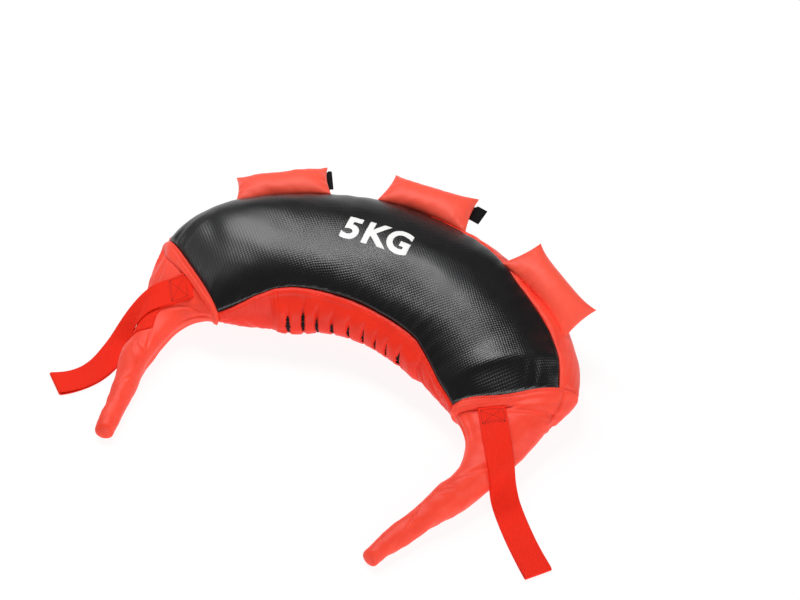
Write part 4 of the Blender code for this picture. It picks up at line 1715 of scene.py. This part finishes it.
    def sew(self, top: Array, normal: Array, sides: Array, walked: Array,
            finishes: Finishes) -> Piece:
        """Sew the box seam that holds the strap, thread by thread.

        Args:
            top: The band's upper face.
            normal: Its normals.
            sides: The places across it.
            walked: The places along it.
            finishes: The materials.

        Returns:
            The stitches as one piece.
        """
        start, last = self.box_start, self.sewn - self.box_inset
        edge = self.width / 2 - self.seam_inset
        corners = np.array(((edge, start), (-edge, start), (-edge, last), (edge, last)))
        second = np.array(((edge, last - self.twin_gap), (-edge, last - self.twin_gap)))
        lines = [*zip(corners, np.roll(corners, -1, axis=0)), second, corners[::2], corners[1::2]]
        spots = []
        for first, final in lines:
            count = max(int(math.dist(first, final) / self.stitch_pitch), 1)
            angle = math.atan2(final[1] - first[1], final[0] - first[0])
            for step in range(count):
                across, along = first + (final - first) * (step + 0.5) / count
                row = float(np.interp(along, walked, np.arange(len(walked))))
                column = float(np.interp(-across, -sides, np.arange(len(sides))))
                spots.append((sample(top, row, column), sample(normal, row, column),
                              self.direction(top, row, column, angle)))
        item = stitches(f"{self.form.end.label}_strap_stitches", spots, self.stitch_length,
                        self.thread_radius)
        return dress(item, finishes.thread, "bag")

    @staticmethod
    def direction(top: Array, row: float, column: float, angle: float) -> Array:
        """Return the way a stitch runs on the band.

        Args:
            top: The band's upper face.
            row: The stitch's place along it, in rows.
            column: Its place across, in columns.
            angle: The stitch's angle on the flat band, in radians.

        Returns:
            The unit direction.
        """
        along = sample(top, row + 1.0, column) - sample(top, row - 1.0, column)
        across = sample(top, row, column - 1.0) - sample(top, row, column + 1.0)
        return unit(unit(across) * math.cos(angle) + unit(along) * math.sin(angle))


def sample(grid: Array, row: float, column: float) -> Array:
    """Read a grid between its rows and columns.

    Args:
        grid: Rows by columns by 3.
        row: The place in rows.
        column: The place in columns.

    Returns:
        The value there.
    """
    row = float(np.clip(row, 0.0, grid.shape[0] - 1.001))
    column = float(np.clip(column, 0.0, grid.shape[1] - 1.001))
    first, start = int(row), int(column)
    down, over = row - first, column - start
    return ((grid[first, start] * (1 - down) + grid[first + 1, start] * down) * (1 - over)
            + (grid[first, start + 1] * (1 - down) + grid[first + 1, start + 1] * down) * over)


def stitches(name: str, spots: list[tuple[Array, Array, Array]], length: float,
             radius: float) -> Piece:
    """Make a line of stitches, each a short round-ended thread that sinks into the cloth.

    Args:
        name: The piece's name.
        spots: The middle, the cloth's normal and the running direction of each stitch.
        length: Of one stitch, in metres.
        radius: Of the thread.

    Returns:
        All stitches as one object.
    """
    deselect()
    bpy.ops.mesh.primitive_uv_sphere_add(segments=6, ring_count=5, radius=1.0,
                                         location=(0.0, 0.0, 0.0))
    model = bpy.context.active_object
    shape = bmesh.new()
    shape.from_mesh(model.data)
    made = bmesh.new()
    for place, normal, way in spots:
        side = unit(np.cross(normal, way))
        axes = Matrix((way * length / 2, side * radius, normal * radius)).transposed()
        whole = Matrix.Translation(Vector(place)) @ axes.to_4x4()
        copies = [made.verts.new(whole @ vertex.co) for vertex in shape.verts]
        for face in shape.faces:
            made.faces.new([copies[vertex.index] for vertex in face.verts])
    mesh = bpy.data.meshes.new(name)
    made.to_mesh(mesh)
    made.free()
    shape.free()
    old = model.data
    model.data = mesh
    model.name = name
    bpy.data.meshes.remove(old)
    mesh.shade_smooth()
    return model


# The grips


@dataclass
class Pad:
    """A stuffed pad with pointed corners, sewn to the bag along its straight side."""

    grip: Grip
    length: float = 0.110
    depth: float = 0.049
    thickness: float = 0.028
    edge: float = 1.6 * MM
    underside: float = 0.8
    draw: float = 0.0052
    rows: int = 120
    columns: int = 56
    turn: float = 46.0
    tilt: float = -2.0
    slant: float = 0.0
    flare: float = 0.06
    gap: float = -0.6 * MM
    seam_reach: float = 0.067
    shear: float = 0.0
    skew: float = 0.0

    def place(self) -> Matrix:
        """Return the matrix of the grip's seam: X along it, Y outwards, Z up."""
        spot = self.spot(0.0, 0.0)
        along = unit(self.spot(1.0, self.slant) - self.spot(-1.0, -self.slant))
        normal = unit(np.cross(self.spot(0.0, 1.0) - self.spot(0.0, -1.0), along))
        normal = normal if normal @ BAG.spine(self.grip.value).outward[0] > 0.0 else -normal
        level = unit(np.cross(UP, along))
        tilt = math.radians(self.tilt)
        out = level * math.cos(tilt) + np.cross(along, level) * math.sin(tilt)
        axes = Matrix((along, out, np.cross(along, out))).transposed().to_4x4()
        return Matrix.Translation(Vector(spot + normal * self.gap)) @ axes

    def spot(self, off_angle: float, off_turn: float) -> Array:
        """Return the bag's skin at some degrees along and around it from the seam's middle."""
        spine = BAG.spine(self.grip.value + off_angle)
        return spine.skin(np.array([self.turn + off_turn]))[0, 0]

    def sewn_line(self, along: Array) -> Array:
        """Return where the curved bag lies under the pad's seam, in the pad's own frame.

        Args:
            along: Places along the seam.

        Returns:
            Points, one for each place.
        """
        places, back = np.unique(along, return_inverse=True)
        off = np.degrees(places / (BAG.arc_radius + self.seam_reach))
        angles = self.grip.value + off
        turns = self.turn + self.slant * off
        lift = stuffed(angles, turns)[:, None] + self.gap
        skin = BAG.spine(angles).skin(turns[:, None], lift)[:, 0]
        inward = np.array(self.place().inverted())
        local = skin @ inward[:3, :3].T + inward[:3, 3]
        local[:, 0] = places
        return local[back.reshape(along.shape)]

    def build(self, finishes: Finishes) -> Piece:
        """Make the pad's cover.

        Args:
            finishes: The materials.

        Returns:
            The piece.
        """
        end = np.sin(np.radians(np.linspace(-90.0, 90.0, self.rows)))
        way = np.linspace(0.0, 2.0 * math.pi, self.columns * 2 + 1)
        ends, ways = np.meshgrid(end, way, indexing="ij")
        deep, over = -np.cos(ways), np.sin(ways)
        share = (1.0 + deep) / 2
        crown = np.maximum(1.0 - np.abs(ends) ** 2.8, 0.0) ** 0.6
        slope = np.where(deep < 0.0, 0.62, 0.8)
        side = np.maximum(1.0 - np.abs(deep) ** 2.4, 0.0) ** slope
        rim = np.minimum(np.abs(over) * 6, 1.0) * (1 - np.abs(ends) ** 40)
        level = self.edge / 2 * rim + (self.thickness / 2 - self.edge / 2) * crown * side
        level = level * np.sign(over) * np.where(ways > math.pi, self.underside, 1.0)
        reach = self.depth * (1.0 + self.skew * ends) - self.draw * (1.0 - ends ** 4)
        bow = self.draw * 0.55 * (1.0 - deep ** 2) * np.abs(ends) ** 4
        along = ends * (self.length / 2 - bow) * (1.0 - self.flare * (2.0 * share - 1.0))
        along = along + self.shear * (1.0 - share)
        points = np.stack((along, reach * share, level), axis=-1)
        shown = points + self.wrinkles(points, ends, share, side, ways)
        middle = np.stack((along, reach * share, 0.0 * level), axis=-1)
        sewn = self.sewn_line(along) * ((1.0 - share) ** 1.6)[..., None]
        sewn[..., 0] = 0.0
        shown, middle = shown + sewn, middle + sewn
        outward = shown - middle
        outward += np.stack((along * 0.02, (share - 0.5) * 0.001, 0.0 * level), axis=-1)
        item = cloth(f"{self.grip.label}_grip_pad", shown, points[..., :2], outward, weld=True)
        item.data.transform(self.place())
        # The grip's lighter red is a painted sheen on the same vinyl.
        dress(item, finishes.grip, f"{self.grip.label}_grip",
              (f"{self.grip.label}_grip_cover",))
        return item

    def wrinkles(self, points: Array, ends: Array, share: Array, side: Array, ways: Array) -> Array:
        """Return how the stuffed cover's creases move its points, up and down only.

        Args:
            points: The cover's points.
            ends: Places along the pad, -1 to 1.
            share: Places outwards, 0 at the seam to 1.
            side: How full the section is at each point.
            ways: Radians around the section, above pi on the underside.

        Returns:
            Moves, one for each point.
        """
        seed = 40 + int(self.grip.value)
        sign = np.where(ways > math.pi, -1.0, 1.0)
        relief = 0.6 * MM * ripples(points[..., :2], 0.055, seed)
        relief += 0.15 * MM * ripples(points[..., :2], 0.018, seed + 1)
        rim = np.minimum(share, 1.0 - share) * self.depth
        relief += puckers(points[..., 0], rim, 0.014, 0.45 * MM, seed + 2, 0.007)
        tips = (1.0 - np.abs(ends)) * self.length / 2
        relief += puckers(points[..., 1], tips, 0.014, 0.9 * MM, seed + 3, 0.010)
        relief *= np.minimum(side * 1.6, 1.0) * ease(np.abs(ends), 1.0, 0.93)
        return np.stack((0.0 * relief, 0.0 * relief, relief * sign), axis=-1)


@dataclass
class Handle:
    """The flat webbing handle under a grip."""

    pad: Pad
    overhang: float
    width: float = 0.024
    thickness: float = 1.5 * MM
    curl: float = 0.004
    inset: float = 1.2 * MM
    least_belly: float = 2.2 * MM
    clearance: float = 0.9 * MM
    rows: int = 60
    columns: int = 14

    def build(self, finishes: Finishes) -> Piece:
        """Make the webbing.

        Args:
            finishes: The materials.

        Returns:
            The piece.
        """
        start = self.pad.draw - self.pad.length / 2
        finish = self.pad.length / 2 + self.overhang
        along = np.linspace(start, finish, self.rows)
        end = np.minimum(np.abs(along) / (self.pad.length / 2), 1.0)
        crown = np.maximum(1.0 - end ** 2.6, 0.0) ** 0.55
        past = np.maximum(along - self.pad.length / 2, 0.0)
        curled = self.curl * past / (self.overhang + self.pad.draw)
        belly = self.least_belly + (self.pad.thickness / 2 - self.least_belly) * crown
        level = -belly * self.pad.underside - self.clearance - self.thickness / 2 - curled
        near = self.pad.depth - self.width - self.inset
        sides = np.linspace(near, near + self.width, self.columns)
        rocked = 0.5 * MM * np.sin(along * 60.0)[:, None]
        level = level[:, None] + rocked * ((sides - near) / self.width - 0.5)
        points = np.stack(np.broadcast_arrays(along[:, None], sides[None, :], level), axis=-1)
        label = self.pad.grip.label
        item = cloth(f"{label}_grip_band", points, points[..., [1, 0]],
                     np.broadcast_to(UP, points.shape))
        thicken(item, self.thickness, 0.0)
        item.data.transform(self.pad.place())
        return dress(item, finishes.black_webbing, f"{label}_grip",
                     (f"{label}_grip_webbing",))


# What lies inside


@dataclass
class Core:
    """A stuffed thing inside the cloth, held well clear of the cloth's creases."""

    name: str
    node: str
    body: str
    slot: str
    fill: float
    rows: int = 40
    columns: int = 48

    def close(self, spine: Spine, lift: Number, finish: Material, rounding: float) -> Piece:
        """Return the core's piece, with rounded closed ends.

        Args:
            spine: The sections of the form around it.
            lift: How far off the form it lies, below 0 inside.
            finish: Its material.
            rounding: The length over which each end closes.

        Returns:
            The piece.
        """
        walked = spine.lengths()
        left = np.minimum(walked, walked[-1] - walked)
        closing = np.sqrt(np.maximum(1.0 - (1.0 - np.minimum(left / rounding, 1.0)) ** 2, 0.0))
        turns = np.linspace(0.0, 360.0, self.columns + 1)
        skin = spine.skin(turns, lift)
        middle = spine.core()[:, None, :]
        soft = 1.0 + 0.03 * ripples(skin, 0.03, len(self.name))[..., None]
        points = middle + (skin - middle) * closing[:, None, None] * np.minimum(soft, 1.0)
        points[:, -1] = points[:, 0]
        across = spread(points, 1)
        chart = np.stack((across, np.broadcast_to(walked[:, None], across.shape)), axis=-1)
        item = cloth(self.name, points, chart, points - middle, weld=True)
        dress(item, finish, self.body, (self.node,))
        return item


def pack_insides(finishes: Finishes) -> None:
    """Make the sand pouches, the fibre wads and the horns' stuffing.

    Args:
        finishes: The materials.
    """
    turns = np.linspace(0.0, 360.0, 65)
    for label, first, last in (("left", -55.2, -19.4), ("centre", -18.4, 18.4),
                               ("right", 19.4, 54.6)):
        core = Core(f"{label}_sand_pouch_canvas", f"{label}_sand_pouch", "bag", "pouch_canvas",
                    0.85, 60, 64)
        angles = np.linspace(first, last, core.rows)
        slack = np.minimum(stuffed(*np.meshgrid(angles, turns, indexing="ij")), 0.0)
        core.close(BAG.spine(angles), slack - 9.0 * MM, finishes.canvas, 0.022)
    for end, form in END_FORMS.items():
        label = end.label
        core = Core(f"{label}_fibre_wadding", f"{label}_fibre_wad", "bag", "fibre", 0.6)
        shares = np.linspace(0.0, 1.0, core.rows)
        core.close(form.cover(shares).between(0.10, 0.9), -10.5 * MM, finishes.fibre, 0.03)
        core = Core(f"{label}_horn_wadding", f"{label}_horn_stuffing", f"{label}_horn", "fibre",
                    0.7)
        core.close(form.horn(shares).between(0.36, 0.98), -4.5 * MM, finishes.fibre, 0.01)


# How far a grip's stuffing stays inside its cover, by axis, and its shift towards the seam
WADDING_INSET = (0.017, 0.0105, 0.005)
WADDING_SHIFT = 0.003


def pack_grip(pad: Pad, finishes: Finishes) -> Piece:
    """Make the stuffing of one grip, a smaller pillow within its cover.

    Args:
        pad: The cover.
        finishes: The materials.

    Returns:
        The piece.
    """
    label = pad.grip.label
    deselect()
    bpy.ops.mesh.primitive_uv_sphere_add(segments=40, ring_count=24, radius=1.0,
                                         location=(0.0, 0.0, 0.0))
    item = bpy.context.active_object
    item.name = f"{label}_grip_wadding"
    inset_x, inset_y, inset_z = WADDING_INSET
    half_length = pad.length / 2 - inset_x
    half_depth = pad.depth / 2 - inset_y
    for vertex in item.data.vertices:
        x, y, z = vertex.co
        squared = (math.hypot(x, y) / max(abs(x), abs(y), 1e-9)) ** 0.6
        vertex.co = Vector((x * squared * half_length,
                            pad.depth / 2 - WADDING_SHIFT + y * squared * half_depth,
                            z * (pad.thickness / 2 - inset_z)))
    item.data.transform(pad.place())
    item.data.shade_smooth()
    dress(item, finishes.fibre, f"{label}_grip", (f"{label}_grip_stuffing",))
    return item


# The printed figure


@dataclass
class Print:
    """A plain weight printed on the panel in white ink."""

    text: str = "5 KG"
    length: float = 0.085
    height: float = 0.035
    middle_angle: float = -3.6
    across: float = 0.001
    turn: float = 3.0
    boldness: float = 0.036
    word_gap: float = 0.30
    thickness: float = 0.16 * MM
    grain: float = 2.5 * MM

    def build(self, panel: TopPanel, finishes: Finishes) -> Piece:
        """Lay the figure on the panel as a thin layer that follows its surface.

        Args:
            panel: The panel, after it is built.
            finishes: The materials.

        Returns:
            The piece.
        """
        deselect()
        bpy.ops.object.text_add(location=(0.0, 0.0, 0.0))
        item = bpy.context.active_object
        item.data.body = self.text
        item.data.align_x = "CENTER"
        item.data.align_y = "CENTER"
        item.data.offset = self.boldness
        item.data.space_word = self.word_gap
        item.data.resolution_u = 6
        choose(item)
        bpy.ops.object.convert(target="MESH")
        item = bpy.context.active_object
        item.name = "printed_weight"
        corners = np.array([vertex.co for vertex in item.data.vertices])
        low, high = corners.min(axis=0), corners.max(axis=0)
        width, height, _ = high - low
        centre_x, centre_y, _ = (low + high) / 2
        fit = Matrix.Diagonal((self.length / width, self.height / height, 1.0, 1.0))
        item.data.transform(fit @ Matrix.Translation((-centre_x, -centre_y, 0.0)))
        self.divide(item.data)
        corners = [vertex.co.copy() for vertex in item.data.vertices]
        turned = math.radians(self.turn)
        for vertex, corner in zip(item.data.vertices, corners):
            along = corner.x * math.cos(turned) - corner.y * math.sin(turned)
            across = corner.x * math.sin(turned) + corner.y * math.cos(turned) + self.across
            angle = self.middle_angle + math.degrees(along / (BAG.arc_radius + across))
            point, normal = panel.place(angle, across)
            vertex.co = Vector(point + normal * (self.thickness + 0.1 * MM))
        item.data.update()
        item.data.shade_smooth()
        thicken(item, self.thickness)
        return dress(item, finishes.ink, "bag")

    def divide(self, mesh: bpy.types.Mesh) -> None:
        """Cut the letters' faces into small squares, so that they can follow a curved surface.

        Args:
            mesh: The flat letters.
        """
        whole = bmesh.new()
        whole.from_mesh(mesh)
        bmesh.ops.remove_doubles(whole, verts=whole.verts, dist=1e-6)
        for axis in range(2):
            lows = min(vertex.co[axis] for vertex in whole.verts)
            highs = max(vertex.co[axis] for vertex in whole.verts)
            for step in range(1, int((highs - lows) / self.grain) + 1):
                place = [0.0, 0.0, 0.0]
                place[axis] = lows + step * self.grain
                way = [0.0, 0.0, 0.0]
                way[axis] = 1.0
                parts = whole.verts[:] + whole.edges[:] + whole.faces[:]
                bmesh.ops.bisect_plane(whole, geom=parts, plane_co=place, plane_no=way)
        bmesh.ops.triangulate(whole, faces=whole.faces)
        whole.to_mesh(mesh)
        whole.free()


# The stage


@dataclass(frozen=True)
class Softbox:
    """A rectangular lamp that faces a point, with its width, height and power in watts."""

    name: str
    place: Place
    target: Place
    size: Pair
    power: float

    def hang(self) -> None:
        """Add the lamp to the scene."""
        deselect()
        bpy.ops.object.light_add(type="AREA", location=self.place)
        light = bpy.context.active_object
        light.name = self.name
        light.data.shape = "RECTANGLE"
        light.data.size, light.data.size_y = self.size
        light.data.energy = self.power
        light.rotation_euler = facing(self.place, self.target)


SOFTBOXES = (
    Softbox("back_softbox", (-1.15, 0.50, 1.55), (-0.19, -0.12, 0.05), (0.5, 0.6), 14.0),
    Softbox("top_softbox", (-0.35, 0.50, 1.85), (0.12, -0.10, 0.05), (0.6, 0.6), 16.5),
    Softbox("left_softbox", (-1.8, -0.2, 1.2), (0.0, -0.1, 0.05), (0.9, 1.4), 3.5),
    Softbox("right_softbox", (2.2, 0.5, 1.0), (0.1, -0.1, 0.05), (0.9, 1.2), 16.0),
    Softbox("front_softbox", (1.35, -2.75, 0.68), (0.0, -0.1, 0.05), (3.0, 1.2), 48.0),
)
FLOOR_SIZE = 12.0
AIR_STRENGTH = 0.13
CAMERA_PLACE = (0.7482, -1.4372, 1.7355)
CAMERA_TARGET = (0.0065, 0.0073, 0.0)
LENS = 92.0
SENSOR_WIDTH = 36.0


def facing(place: Place, target: Place) -> Euler:
    """Return the rotation of a lamp or camera that looks from a place at a target."""
    return (Vector(target) - Vector(place)).to_track_quat("-Z", "Y").to_euler()


def set_stage(finishes: Finishes) -> None:
    """Lay the floor, hang the softboxes and aim the camera from where the photo was taken.

    Args:
        finishes: The materials, with the floor's.
    """
    deselect()
    bpy.ops.mesh.primitive_plane_add(size=FLOOR_SIZE, location=(0.0, 0.0, 0.0))
    floor = bpy.context.active_object
    floor.name = "studio_floor"
    floor.data.materials.append(finishes.floor)
    scene = bpy.context.scene
    scene.world = bpy.data.worlds.new("studio_air")
    scene.world.use_nodes = True
    air = scene.world.node_tree.nodes["Background"]
    air.inputs["Color"].default_value = linear("#FFFFFF")
    air.inputs["Strength"].default_value = AIR_STRENGTH
    for softbox in SOFTBOXES:
        softbox.hang()
    deselect()
    bpy.ops.object.camera_add(location=CAMERA_PLACE)
    camera = bpy.context.active_object
    camera.name = "photo_camera"
    camera.data.lens = LENS
    camera.data.sensor_width = SENSOR_WIDTH
    camera.rotation_euler = facing(CAMERA_PLACE, CAMERA_TARGET)
    scene.camera = camera
    scene.view_settings.view_transform = "Standard"


def main() -> None:
    """Build the looks of the whole trainer."""
    logging.basicConfig(level=logging.INFO, format="%(name)s %(message)s")
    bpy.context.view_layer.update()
    finishes = Finishes()
    panel = TopPanel()
    panel.build(finishes)
    outer_base, inner_base = straight_seam(OUTER_BASE), straight_seam(INNER_BASE)
    SidePanel("outer_band_vinyl", "outer_band", outer_base, outer_seam_again, 11,
              deep=False).build(finishes)
    SidePanel("inner_gusset_vinyl", "inner_gusset", inner_seam, inner_base, 15,
              folds=GUSSET_FOLDS).build(finishes)
    SidePanel("bottom_panel_vinyl", "bottom_panel", inner_base, outer_base, 19,
              unevenness=0.3, welts=(0.0, 0.0)).build(finishes)
    Tape("hook_tape", "closure_hook_tape", 1.5 * MM).build(finishes)
    Tape("loop_tape", "closure_loop_tape", 2.7 * MM).build(finishes)
    ClosureFlap().build(finishes)
    straps = {End.LEFT: Strap(END_FORMS[End.LEFT], sag=18.0 * MM, drape=17.0, slant=0.38),
              End.RIGHT: Strap(END_FORMS[End.RIGHT])}
    for end, sleeve in SLEEVES.items():
        sleeve.build(finishes)
        straps[end].build(finishes, sleeve)
    pads = (Pad(Grip.LEFT, turn=42.0, tilt=-11.0, flare=0.01),
            Pad(Grip.CENTRE, turn=42.0, depth=0.048, flare=0.045, shear=0.005, skew=0.07),
            Pad(Grip.RIGHT, turn=39.5, depth=0.0435, tilt=14.0, slant=-1.1))
    handles = (Handle(pads[0], 0.0035, width=0.038, inset=3.0 * MM),
               Handle(pads[1], 0.012, inset=5.0 * MM), Handle(pads[2], -0.012, inset=9.0 * MM))
    for pad, handle in zip(pads, handles):
        pad.build(finishes)
        handle.build(finishes)
        pack_grip(pad, finishes)
    pack_insides(finishes)
    Print().build(panel, finishes)
    set_stage(finishes)


if __name__ == "__main__":
    main()
